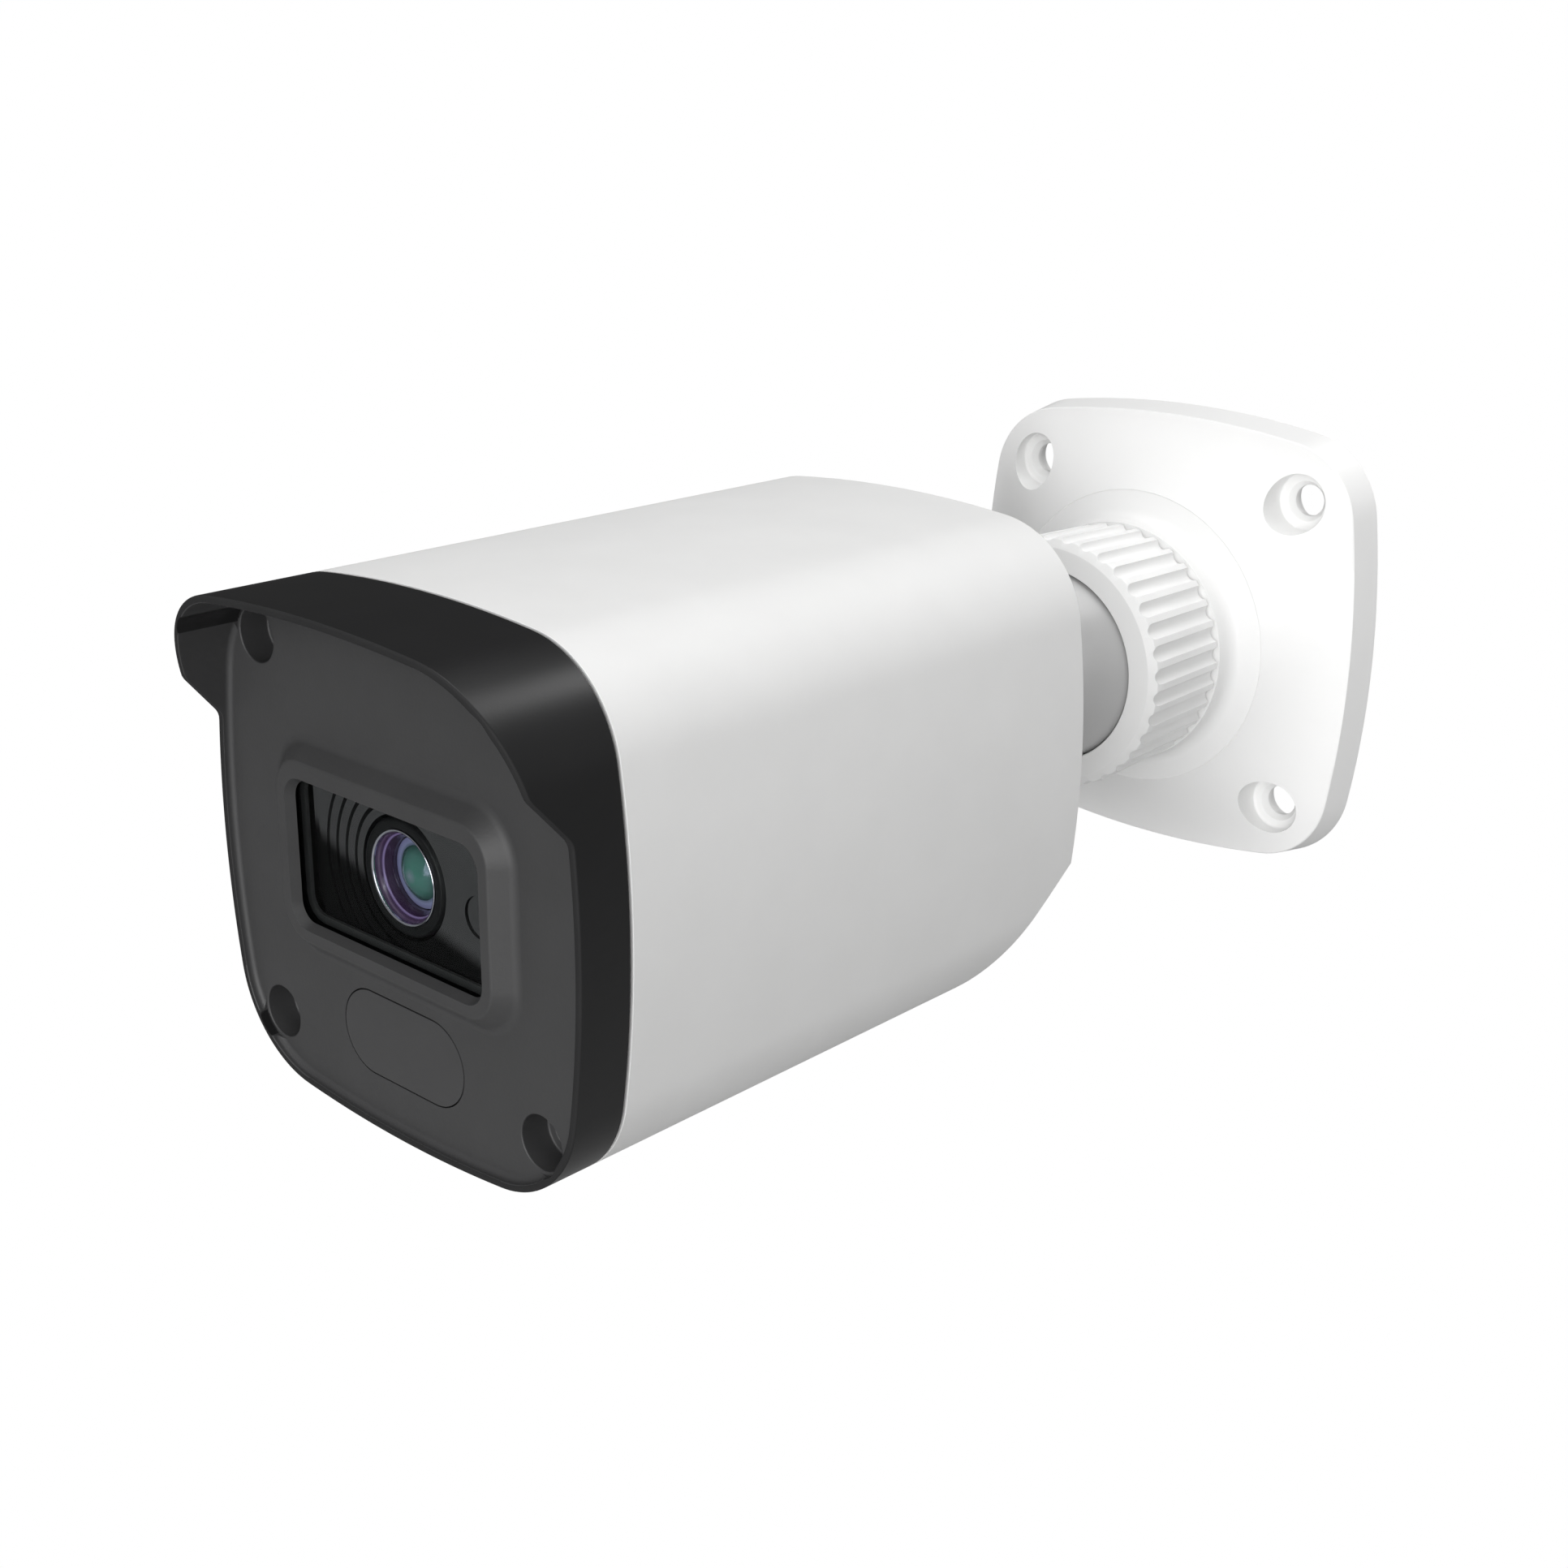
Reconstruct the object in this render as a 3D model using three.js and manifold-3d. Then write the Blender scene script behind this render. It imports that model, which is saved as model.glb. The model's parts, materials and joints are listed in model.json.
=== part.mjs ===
// A small bullet-type security camera on a ball-joint wall bracket.
//
// Millimetres, +Z up. The wall is the plane y = 0, the bracket stands out from it along -Y and the
// lens looks along -Y. The camera head is built in its own group, where y is the depth behind the
// front rim of the cover, so the rim is at 0 and the back of the housing at BODY_LENGTH.

import * as THREE from "three";
import { mergeVertices } from "three/addons/utils/BufferGeometryUtils.js";
import Module from "manifold-3d";

const wasm = await Module();
wasm.setup();

// ---------------------------------------------------------------- driving dimensions

const GAP = 0.3; // running and seating clearance between neighbouring pieces
const THROUGH = 2; // how far a cutter runs past the face it cuts

// wall plate
const PLATE_WIDTH = 70;
const PLATE_EDGE = 5.9; // height of the plate's side wall
const PLATE_DRAFT = 0.9; // how much the front outline is smaller than the back one, each side
const PLATE_BULGE = 146; // radius of the plate's four sides
const PLATE_CORNER = 13;
const WALL_HOLE_SPACING = 47.6;
const WALL_SCREW_HEAD = 4.5; // counterbore radius
const WALL_SCREW_SHANK = 2.3;
const CREASE_RADIUS = 23.3; // circle where the pillow-shaped plate turns up into the socket
const CREASE_HEIGHT = 12.5;
const CABLE_HOLE = 9;
const PLATE_WALL = 3.5;
const SCREW_LEDGE = 4.3; // height of the ledges that the wall screws' heads rest on
const LEDGE_THICKNESS = 1.7;
const HOLLOW_ROOF = 9.5; // how deep the plate is hollow round its cable tube
const HOLLOW_EDGE = 2.6; // and along its edge

// ball joint
const BALL_RADIUS = 15;
const BALL_STANDOFF = 30.2; // from the wall to the ball's centre
const SOCKET_FLOOR = 17.1; // from the wall to the floor of the socket
const THREAD_RADIUS = 16.6; // outside of the socket's threaded collar
const COLLAR_START = 17; // from the wall to the step under the thread
const COLLAR_FRONT = 27.8;
const RING_RADIUS = 19.15;
const RING_FRONT = 35.3; // from the wall to the flat front of the clamp ring
const RING_BACK = 17.4;
const FLUTES = 36;

// camera head
const RIM_TO_BALL = 127.2;
const BODY_WIDTH = 63.2;
const BODY_HEIGHT = 63.5;
const SIDE_BULGE = 125; // radius of the body's left and right sides
const TOP_BULGE = 172; // radius of its top and underside
const BODY_CORNER = 14;
const BODY_LENGTH = 86.5;
const BODY_WALL = 2.2;
const SLANT_START = -13.4; // height where the slanted lower back begins
const SLANT_SLOPE = 1.056; // depth lost for each millimetre further down
const BAND_DEPTH = 7.2; // depth of the black band along the sides
const HOOD_REACH = 8.75; // how far the sun hood stands in front of the rim, at the top
const HOOD_LEAN = 0.29; // how fast its front edge leans back on the way down
const LIP = 0.95; // thickness of the hood and rim at their front edge
const FACE_DEPTH = 1.1; // how far the face sits behind the rim
const FACE_BACK = 3.3;
const COVER_SCREW = 23.5; // distance of the cover screws from the two middle planes
const SCREW_RECESS = { radius: 3.25, depth: 4.9 };
const SCREW_SEAT = { radius: 2.15, depth: 6.3 };

// openings in the face
const WINDOW = { halfWidth: 16.6, halfHeight: 8.5, radius: 2.4 };
const GLASS = { halfWidth: 17.8, halfHeight: 9.6, radius: 3.1 };
const BEZEL_HEIGHT = 2.1;
const IR_CENTRE = -20.26;
const IR_HALF_SPACING = 5.54;
const IR_RADIUS = 5.15;

// lens and boards
const LENS_FRONT = 2.4;
const LENS_HEAD_RADIUS = 7;
const LENS_THREAD_RADIUS = 5.85;
const LENS_BACK = 16.5;
const POST = { x: 18.5, z: 14 };
const SENSOR_BOARD_DEPTH = 22.1;
const MAIN_BOARD_DEPTH = 33.3;
const BOARD_THICKNESS = 1.2;
const FILTER_TRAVEL = 9;

// stem
const STEM_FLANGE_RADIUS = 13;
const STEM_BORE = 4.6;
const NECK_RADIUS = 8.2;
const TUBE_RADIUS = 6; // the part of the stem that the ball is threaded on
const STEM_SCREW_CIRCLE = 10.2;

// screws: radii of the head, the shank and the hole it passes through or cuts its thread in
const COVER_SCREW_SIZE = { head: 1.85, shank: 1.1, hole: 1.4 };
const STEM_SCREW_SIZE = { head: 2.1, shank: 1.25, hole: 1.55 };
const BOARD_SCREW_SIZE = { head: 2.2, shank: 1, hole: 1.3 };
const LED_SCREW_SIZE = { head: 1.8, shank: 0.85, hole: 1.15 };

// ---------------------------------------------------------------- materials

const paint = (color, roughness, metalness = 0, extra = {}) => () =>
  new THREE.MeshStandardMaterial({ color, roughness, metalness, ...extra });

const whitePaint = paint(0xe9e9e7, 0.55);
const whitePlastic = paint(0xf2f2f0, 0.45);
const blackPlastic = paint(0x2b2b2c, 0.55);
const blackRubber = paint(0x161617, 0.9);
const nylon = paint(0xcfcfc8, 0.5);
const steel = paint(0xa9abae, 0.35, 1);
const aluminium = paint(0xb9bbbe, 0.4, 1);
const blackMetal = paint(0x1b1b1d, 0.4, 0.6);
const greenBoard = paint(0x1f5a35, 0.5);
const chipBlack = paint(0x202124, 0.45);
const padGrey = paint(0x8c949b, 0.9);
const copper = paint(0xb06a3c, 0.35, 1);
const clearGlass = paint(0xdfe8ea, 0.05, 0, { transparent: true, opacity: 0.25 });
const coatedGlass = paint(0x4a6a78, 0.05, 0, { transparent: true, opacity: 0.5 });
const redGlass = paint(0x8a5a6a, 0.05, 0, { transparent: true, opacity: 0.6 });
const smokedAcrylic = paint(0x3a3a3c, 0.15);

// ---------------------------------------------------------------- solids from three.js geometry

// A geometry with any winding and any duplicate vertices becomes a solid whose faces point outwards.
function solid(geometry) {
  const bare = geometry.index ? geometry.toNonIndexed() : geometry.clone();
  bare.deleteAttribute("normal");
  bare.deleteAttribute("uv");
  const merged = mergeVertices(bare, 1e-4);
  const points = merged.attributes.position.array;
  const corners = merged.index.array;
  const kept = [];
  for (let i = 0; i < corners.length; i += 3) {
    const [a, b, c] = [corners[i], corners[i + 1], corners[i + 2]];
    if (a !== b && b !== c && c !== a) kept.push(a, b, c);
  }
  const make = (triangles) =>
    new wasm.Manifold(
      new wasm.Mesh({ numProp: 3, vertProperties: points, triVerts: new Uint32Array(triangles) }),
    );
  const made = make(kept);
  if (made.volume() > 0) return made;
  for (let i = 0; i < kept.length; i += 3) {
    [kept[i], kept[i + 1]] = [kept[i + 1], kept[i]];
  }
  return make(kept);
}

const join = (solids) => solids.reduce((all, one) => all.add(one));
const cut = (from, cutters) => cutters.reduce((left, one) => left.subtract(one), from);

// A solid as a named mesh.
function mesh(name, shape, material) {
  const { numProp, numVert, vertProperties, triVerts } = shape.getMesh();
  const points = new Float32Array(numVert * 3);
  for (let i = 0; i < numVert; i++) {
    points.set(vertProperties.subarray(i * numProp, i * numProp + 3), i * 3);
  }
  const geometry = new THREE.BufferGeometry();
  geometry.setAttribute("position", new THREE.BufferAttribute(points, 3));
  geometry.setIndex(new THREE.BufferAttribute(new Uint32Array(triVerts), 1));
  geometry.computeVertexNormals();
  const made = new THREE.Mesh(geometry, material());
  made.name = name;
  return made;
}

// An outline in the x-z plane, extruded along Y from one depth to another.
function prism(outline, front, back) {
  const geometry = new THREE.ExtrudeGeometry(new THREE.Shape(outline), {
    depth: back - front,
    bevelEnabled: false,
  });
  geometry.translate(0, 0, -back);
  geometry.rotateX(Math.PI / 2);
  return solid(geometry);
}

// An outline in the y-z plane, extruded along X over the whole width of the body.
function sidePrism(outline) {
  const geometry = new THREE.ExtrudeGeometry(new THREE.Shape(outline), {
    depth: 2 * BODY_WIDTH,
    bevelEnabled: false,
  });
  geometry.translate(0, 0, -BODY_WIDTH);
  const axes = new THREE.Matrix4().makeBasis(
    new THREE.Vector3(0, 1, 0),
    new THREE.Vector3(0, 0, 1),
    new THREE.Vector3(1, 0, 0),
  );
  return solid(geometry.applyMatrix4(axes));
}

// A closed profile of [radius, y] corners turned about the Y axis.
function turned(profile, segments = 30) {
  const points = profile.map(([radius, y]) => new THREE.Vector2(radius, y));
  points.push(points[0].clone());
  return solid(new THREE.LatheGeometry(points, segments));
}

function rod(radius, front, back, { x = 0, z = 0, sides = 20 } = {}) {
  const geometry = new THREE.CylinderGeometry(radius, radius, back - front, sides);
  return solid(geometry.translate(x, (front + back) / 2, z));
}

function tube(outer, inner, front, back, sides = 28) {
  return rod(outer, front, back, { sides }).subtract(
    rod(inner, front - THROUGH, back + THROUGH, { sides }),
  );
}

function block(width, height, front, back, { x = 0, z = 0 } = {}) {
  const geometry = new THREE.BoxGeometry(width, back - front, height);
  return solid(geometry.translate(x, (front + back) / 2, z));
}

// ---------------------------------------------------------------- outlines

const at = (radius, angle) =>
  new THREE.Vector2(radius * Math.cos(angle), radius * Math.sin(angle));

// Points on an arc, without its last point, so that arcs can follow each other.
function arc(centreX, centreY, radius, from, to, pieces) {
  return Array.from({ length: pieces }, (_, i) => {
    const point = at(radius, from + ((to - from) * i) / pieces);
    return point.add(new THREE.Vector2(centreX, centreY));
  });
}

// A rectangle with four bulging sides that run smoothly into round corners, moved in by an inset.
// The corner's centre is where circles about the centres of the two sides' arcs meet.
function bulgedRectangle(form, inset = 0) {
  const { halfWidth, halfHeight, sideBulge, topBulge, corner, perCorner = 6, perSide = 4 } = form;
  const sideX = halfWidth - sideBulge;
  const topY = halfHeight - topBulge;
  const reachSide = sideBulge - corner;
  const reachTop = topBulge - corner;
  const apart = Math.hypot(sideX, topY);
  const along = (reachSide ** 2 - reachTop ** 2 + apart ** 2) / (2 * apart);
  const across = Math.sqrt(reachSide ** 2 - along ** 2);
  const cornerX = sideX - (along * sideX + across * topY) / apart;
  const cornerY = (along * topY + across * -sideX) / apart;
  const low = Math.atan2(cornerY, cornerX - sideX);
  const high = Math.atan2(cornerY - topY, cornerX);
  const right = Math.PI;
  const points = [];
  const sides = [
    [sideX, 0, sideBulge, -low, low, perSide],
    [cornerX, cornerY, corner, low, high, perCorner],
    [0, topY, topBulge, high, right - high, perSide],
    [-cornerX, cornerY, corner, right - high, right - low, perCorner],
    [-sideX, 0, sideBulge, right - low, right + low, perSide],
    [-cornerX, -cornerY, corner, right + low, right + high, perCorner],
    [0, -topY, topBulge, right + high, 2 * right - high, perSide],
    [cornerX, -cornerY, corner, 2 * right - high, 2 * right - low, perCorner],
  ];
  for (const [x, y, radius, from, to, pieces] of sides) {
    points.push(...arc(x, y, radius - inset, from, to, pieces));
  }
  return points;
}

const bodySection = (inset) =>
  bulgedRectangle(
    {
      halfWidth: BODY_WIDTH / 2,
      halfHeight: BODY_HEIGHT / 2,
      sideBulge: SIDE_BULGE,
      topBulge: TOP_BULGE,
      corner: BODY_CORNER,
    },
    inset,
  );

const plateOutline = (inset) =>
  bulgedRectangle(
    {
      halfWidth: PLATE_WIDTH / 2,
      halfHeight: PLATE_WIDTH / 2,
      sideBulge: PLATE_BULGE,
      topBulge: PLATE_BULGE,
      corner: PLATE_CORNER,
    },
    inset,
  );

function roundedRectangle(halfWidth, halfHeight, radius, { x = 0, z = 0, pieces = 4 } = {}) {
  const quarter = Math.PI / 2;
  const points = [];
  const corners = [
    [1, 1],
    [-1, 1],
    [-1, -1],
    [1, -1],
  ];
  corners.forEach(([sideX, sideZ], i) => {
    const centreX = x + sideX * (halfWidth - radius);
    const centreZ = z + sideZ * (halfHeight - radius);
    points.push(...arc(centreX, centreZ, radius, i * quarter, (i + 1) * quarter, pieces));
    points.push(at(radius, (i + 1) * quarter).add(new THREE.Vector2(centreX, centreZ)));
  });
  return points;
}

// The infrared window's outline: two half circles joined by straight runs.
const stadium = (radius) =>
  roundedRectangle(IR_HALF_SPACING + radius, radius, radius - 0.001, { z: IR_CENTRE, pieces: 6 });

// The loop of the cover's seal, which passes inside the four cover screws.
const SEAL_HALF = 28.6;
const SEAL_RADIUS = 23.5;
const sealLoop = (inset) =>
  roundedRectangle(SEAL_HALF - inset, SEAL_HALF - inset, SEAL_RADIUS - inset, { pieces: 7 });

// A closed ring-shaped surface through rings of equally many points, the last joined to the first.
function ringSurface(rings) {
  const count = rings[0].points.length;
  const position = [];
  const index = [];
  for (const { points, y } of rings) {
    for (const point of points) position.push(point.x, y, point.y);
  }
  rings.forEach((_, ring) => {
    const next = (ring + 1) % rings.length;
    for (let i = 0; i < count; i++) {
      const j = (i + 1) % count;
      const [a, b] = [ring * count + i, ring * count + j];
      const [c, d] = [next * count + i, next * count + j];
      index.push(a, b, c, b, d, c);
    }
  });
  const geometry = new THREE.BufferGeometry();
  geometry.setAttribute("position", new THREE.Float32BufferAttribute(position, 3));
  geometry.setIndex(index);
  return solid(geometry);
}

// The same angles as an outline's points, on a circle.
const circleLike = (outline, radius) => outline.map((point) => at(radius, point.angle()));

const corners = (x, z = x) => [
  { x, z },
  { x: -x, z },
  { x: -x, z: -z },
  { x, z: -z },
];

// ---------------------------------------------------------------- wall bracket

function wallPlate() {
  const back = plateOutline(0);
  const front = plateOutline(PLATE_DRAFT);
  const crease = circleLike(front, CREASE_RADIUS);
  const pillow = [0, 0.33, 0.67, 1].map((t) => ({
    points: front.map((point, i) => point.clone().lerp(crease[i], t)),
    y: -PLATE_EDGE - (CREASE_HEIGHT - PLATE_EDGE) * t ** 1.3,
  }));
  const circles = [
    [21.3, -14.2],
    [19.9, -15.7],
    [19.2, -COLLAR_START],
    [THREAD_RADIUS, -COLLAR_START],
    [THREAD_RADIUS, -COLLAR_FRONT],
    [BALL_RADIUS + GAP, -COLLAR_FRONT],
    [BALL_RADIUS + GAP, -SOCKET_FLOOR],
    [CABLE_HOLE, -SOCKET_FLOOR],
    [CABLE_HOLE, 0],
  ].map(([radius, y]) => ({ points: circleLike(front, radius), y }));
  const outside = ringSurface([{ points: back, y: 0 }, ...pillow, ...circles]);

  const inner = plateOutline(PLATE_WALL);
  const cableTube = circleLike(inner, CABLE_HOLE + 2.5);
  const hollow = ringSurface([
    { points: inner, y: THROUGH },
    { points: inner, y: -HOLLOW_EDGE },
    { points: circleLike(inner, 20), y: -HOLLOW_ROOF },
    { points: cableTube, y: -HOLLOW_ROOF },
    { points: cableTube, y: THROUGH },
  ]);
  const places = corners(WALL_HOLE_SPACING / 2);
  const beyond = -CREASE_HEIGHT - 7.5; // in front of the plate at the screws
  const columns = places.map((place) => rod(WALL_SCREW_HEAD + 1.8, -12, 2 * THROUGH, place));
  const heads = places.map((place) => rod(WALL_SCREW_HEAD, beyond, -SCREW_LEDGE, place));
  const shanks = places.map((place) =>
    rod(WALL_SCREW_SHANK, beyond, THROUGH, { ...place, sides: 14 }),
  );
  const reliefs = places.map((place) =>
    rod(WALL_SCREW_HEAD - 1.1, LEDGE_THICKNESS - SCREW_LEDGE, THROUGH, place),
  );
  return cut(outside, [cut(hollow, columns), ...heads, ...shanks, ...reliefs]);
}

// Points of a sphere's profile between two depths, the sphere centred on the ball's centre.
function sphereProfile(radius, from, to, centre, pieces = 4) {
  return Array.from({ length: pieces + 1 }, (_, i) => {
    const y = from + ((to - from) * i) / pieces;
    return [Math.sqrt(radius ** 2 - (y - centre) ** 2), y];
  });
}

// The seat behind the ball and the friction ring in front of it, both shaped to the ball.
function ballSeat() {
  const floor = -SOCKET_FLOOR - 0.4;
  const front = -23.8;
  return turned([
    [CABLE_HOLE + 0.2, floor],
    [BALL_RADIUS - 0.1, floor],
    [BALL_RADIUS - 0.1, front],
    ...sphereProfile(BALL_RADIUS + GAP, front, floor - 0.5, -BALL_STANDOFF),
  ]);
}

const RING_SHOULDER = 33; // from the wall to the step inside the clamp ring

function frictionRing() {
  const back = -COLLAR_FRONT - GAP;
  const front = -RING_SHOULDER + GAP;
  return turned([
    [THREAD_RADIUS, front],
    [THREAD_RADIUS, back],
    ...sphereProfile(BALL_RADIUS + GAP, back, front, -BALL_STANDOFF),
  ]);
}

function clampRing() {
  const nose = [
    [15.05, -RING_SHOULDER],
    [14.6, -34.9],
    [14.85, -RING_FRONT],
    [17.7, -RING_FRONT],
    [18.85, -34.3],
  ];
  const ring = turned(
    [
      ...nose,
      [RING_RADIUS, -RING_SHOULDER],
      [RING_RADIUS - 0.55, -RING_BACK],
      [THREAD_RADIUS + GAP, -RING_BACK],
      [THREAD_RADIUS + GAP, -RING_SHOULDER],
    ],
    FLUTES,
  );
  const fluteRadius = 1.25;
  const fluteDepth = 0.6;
  const flutes = Array.from({ length: FLUTES }, (_, i) => {
    const place = at(RING_RADIUS + fluteRadius - fluteDepth, (2 * Math.PI * (i + 0.5)) / FLUTES);
    return rod(fluteRadius, -33.6, -RING_BACK + THROUGH, { x: place.x, z: place.y, sides: 8 });
  });
  return cut(ring, [join(flutes)]);
}

// ---------------------------------------------------------------- stem between ball and housing

const STEM_FRONT = BODY_LENGTH + GAP;

const BALL_FRONT = RIM_TO_BALL - 12.4;
const BALL_BACK = RIM_TO_BALL + 11.4;

// The ball is threaded on the stem's tube, between the neck and a clip.
const ball = () =>
  turned([
    [TUBE_RADIUS + GAP, BALL_FRONT],
    ...sphereProfile(BALL_RADIUS, BALL_FRONT, BALL_BACK, RIM_TO_BALL, 12),
    [TUBE_RADIUS + GAP, BALL_BACK],
  ]);

const ballClip = () => tube(7.3, TUBE_RADIUS + GAP, BALL_BACK + GAP, BALL_BACK + 1.5);

// A flange that seals against the housing, a neck, and the tube through the ball.
function ballStem() {
  const sealGroove = { inner: 6.4, outer: 8.2, depth: 1.5 };
  const stem = turned([
    [STEM_BORE, STEM_FRONT],
    [sealGroove.inner, STEM_FRONT],
    [sealGroove.inner, STEM_FRONT + sealGroove.depth],
    [sealGroove.outer, STEM_FRONT + sealGroove.depth],
    [sealGroove.outer, STEM_FRONT],
    [STEM_FLANGE_RADIUS, STEM_FRONT],
    [STEM_FLANGE_RADIUS, STEM_FRONT + 2.8],
    [12.3, STEM_FRONT + 3.6],
    [12, 94],
    [10.2, 99],
    [8.8, 103],
    [NECK_RADIUS, 107],
    [NECK_RADIUS, BALL_FRONT - GAP],
    [TUBE_RADIUS, BALL_FRONT - GAP],
    [TUBE_RADIUS, BALL_BACK + 1.7],
    [STEM_BORE, BALL_BACK + 1.7],
  ]);
  const holes = stemScrewPlaces().map((place) =>
    rod(STEM_SCREW_SIZE.hole, STEM_FRONT - 1, 94, { ...place, sides: 8 }),
  );
  return cut(stem, holes);
}

const stemScrewPlaces = () =>
  [0, 1, 2].map((i) => {
    const place = at(STEM_SCREW_CIRCLE, Math.PI / 2 + (2 * Math.PI * i) / 3);
    return { x: place.x, z: place.y };
  });

const stemSeal = () => tube(7.9, 6.7, STEM_FRONT, STEM_FRONT + 1.2);

const GROMMET_RADIUS = 5.9; // where it fills the hole in the housing's back wall

// A sleeve with a collar inside the housing and a tapered nose in the stem's bore.
function cableGrommet() {
  const bore = 2.6;
  const wallFront = BODY_LENGTH - BODY_WALL - GAP;
  return turned(
    [
      [bore, wallFront - 2.4],
      [GROMMET_RADIUS + 1.5, wallFront - 2.4],
      [GROMMET_RADIUS + 1.5, wallFront],
      [GROMMET_RADIUS, wallFront],
      [GROMMET_RADIUS, BODY_LENGTH],
      [STEM_BORE - GAP, BODY_LENGTH],
      [STEM_BORE - 0.7, 91],
      [bore, 91],
    ],
    24,
  );
}

// A screw whose head faces the front or, with the head's depth behind the tip, the back.
function screw(size, headFrom, headTo, tip, place) {
  const towardsBack = tip > headFrom;
  const [shankFront, shankBack] = towardsBack ? [headTo - 0.2, tip] : [tip, headFrom + 0.2];
  const body = rod(size.head, headFrom, headTo, { ...place, sides: 12 }).add(
    rod(size.shank, shankFront, shankBack, { ...place, sides: 8 }),
  );
  const driveFrom = towardsBack ? headFrom - 1 : headTo - 1;
  const driveTo = towardsBack ? headFrom + 1 : headTo + 1;
  const slotWidth = 0.8;
  const across = block(slotWidth, size.head * 1.2, driveFrom, driveTo, place);
  const upright = block(size.head * 1.2, slotWidth, driveFrom, driveTo, place);
  return cut(body, [across, upright]);
}

// ---------------------------------------------------------------- housing and cover

// The side view of the housing's back end, as a cutter of everything behind it.
function slantCutter(wall) {
  const back = BODY_LENGTH - wall;
  const shift = wall * (Math.hypot(1, SLANT_SLOPE) - 1);
  const low = -BODY_HEIGHT;
  const slantAt = (z) => back - shift + SLANT_SLOPE * (z - SLANT_START);
  const start = SLANT_START + shift / SLANT_SLOPE;
  return sidePrism([
    new THREE.Vector2(slantAt(low), low),
    new THREE.Vector2(2 * BODY_LENGTH, low),
    new THREE.Vector2(2 * BODY_LENGTH, BODY_HEIGHT),
    new THREE.Vector2(back, BODY_HEIGHT),
    new THREE.Vector2(back, start),
  ]);
}

const HOUSING_FRONT = BAND_DEPTH + GAP / 2;
const COVER_BACK = BAND_DEPTH - GAP / 2;
const FLANGE_DEPTH = 3;
const COVER_SCREW_TIP = 16;
const SEAL_INSET = 1.7; // from the outside of the seal's loop to the edge of the opening inside it
const POCKET_BACK = 4.6; // end of the wall round the window glass

function housingShell() {
  const outside = prism(bodySection(0), HOUSING_FRONT, BODY_LENGTH + THROUGH).subtract(
    slantCutter(0),
  );
  const cavity = prism(
    bodySection(BODY_WALL),
    HOUSING_FRONT + FLANGE_DEPTH,
    BODY_LENGTH,
  ).subtract(slantCutter(BODY_WALL));
  const bosses = corners(COVER_SCREW).map((place) =>
    rod(3.9, HOUSING_FRONT + 1, COVER_SCREW_TIP + 2.5, { ...place, sides: 14 }),
  );
  const opening = prism(sealLoop(SEAL_INSET), 0, HOUSING_FRONT + FLANGE_DEPTH + 1);
  const screwHoles = corners(COVER_SCREW).map((place) =>
    rod(COVER_SCREW_SIZE.hole, 0, COVER_SCREW_TIP + 1, { ...place, sides: 8 }),
  );
  const [inside, outsideBack] = [BODY_LENGTH - BODY_WALL - 4, BODY_LENGTH + 4];
  const stemHoles = stemScrewPlaces().map((place) =>
    rod(STEM_SCREW_SIZE.hole, inside, outsideBack, { ...place, sides: 8 }),
  );
  const cableHole = rod(GROMMET_RADIUS + GAP, inside, outsideBack);
  return cut(outside, [cut(cavity, bosses), opening, ...screwHoles, ...stemHoles, cableHole]);
}

// The hood's outline seen from the side: everything in front of it is cut away.
function hoodCutter() {
  const top = BODY_HEIGHT / 2;
  const bend = 18.7; // height where the leaning edge turns into the slant
  const foot = 13; // height where the slant meets the rim
  const far = -3 * HOOD_REACH;
  const leanAt = (z) => -HOOD_REACH + HOOD_LEAN * (top - z);
  return sidePrism([
    new THREE.Vector2(far, -BODY_HEIGHT),
    new THREE.Vector2(0, -BODY_HEIGHT),
    new THREE.Vector2(0, foot - 0.8),
    new THREE.Vector2(-0.35, foot + 0.3),
    new THREE.Vector2(leanAt(bend) + 0.5, bend - 0.7),
    new THREE.Vector2(leanAt(bend + 0.9), bend + 0.9),
    new THREE.Vector2(leanAt(BODY_HEIGHT), BODY_HEIGHT),
    new THREE.Vector2(far, BODY_HEIGHT),
  ]);
}

// The raised frame round the window, a block with sloping flanks.
function bezel() {
  const slope = 2.1;
  const outline = roundedRectangle(
    GLASS.halfWidth + 2.9,
    GLASS.halfHeight + 3.1,
    GLASS.radius + 2.5,
  );
  const geometry = new THREE.ExtrudeGeometry(new THREE.Shape(outline), {
    depth: 0.5,
    bevelThickness: BEZEL_HEIGHT,
    bevelSize: slope,
    bevelOffset: -slope,
    bevelSegments: 1,
  });
  geometry.translate(0, 0, -FACE_DEPTH - 0.5);
  geometry.rotateX(Math.PI / 2);
  return solid(geometry).subtract(block(60, 60, FACE_BACK, 10));
}

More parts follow.
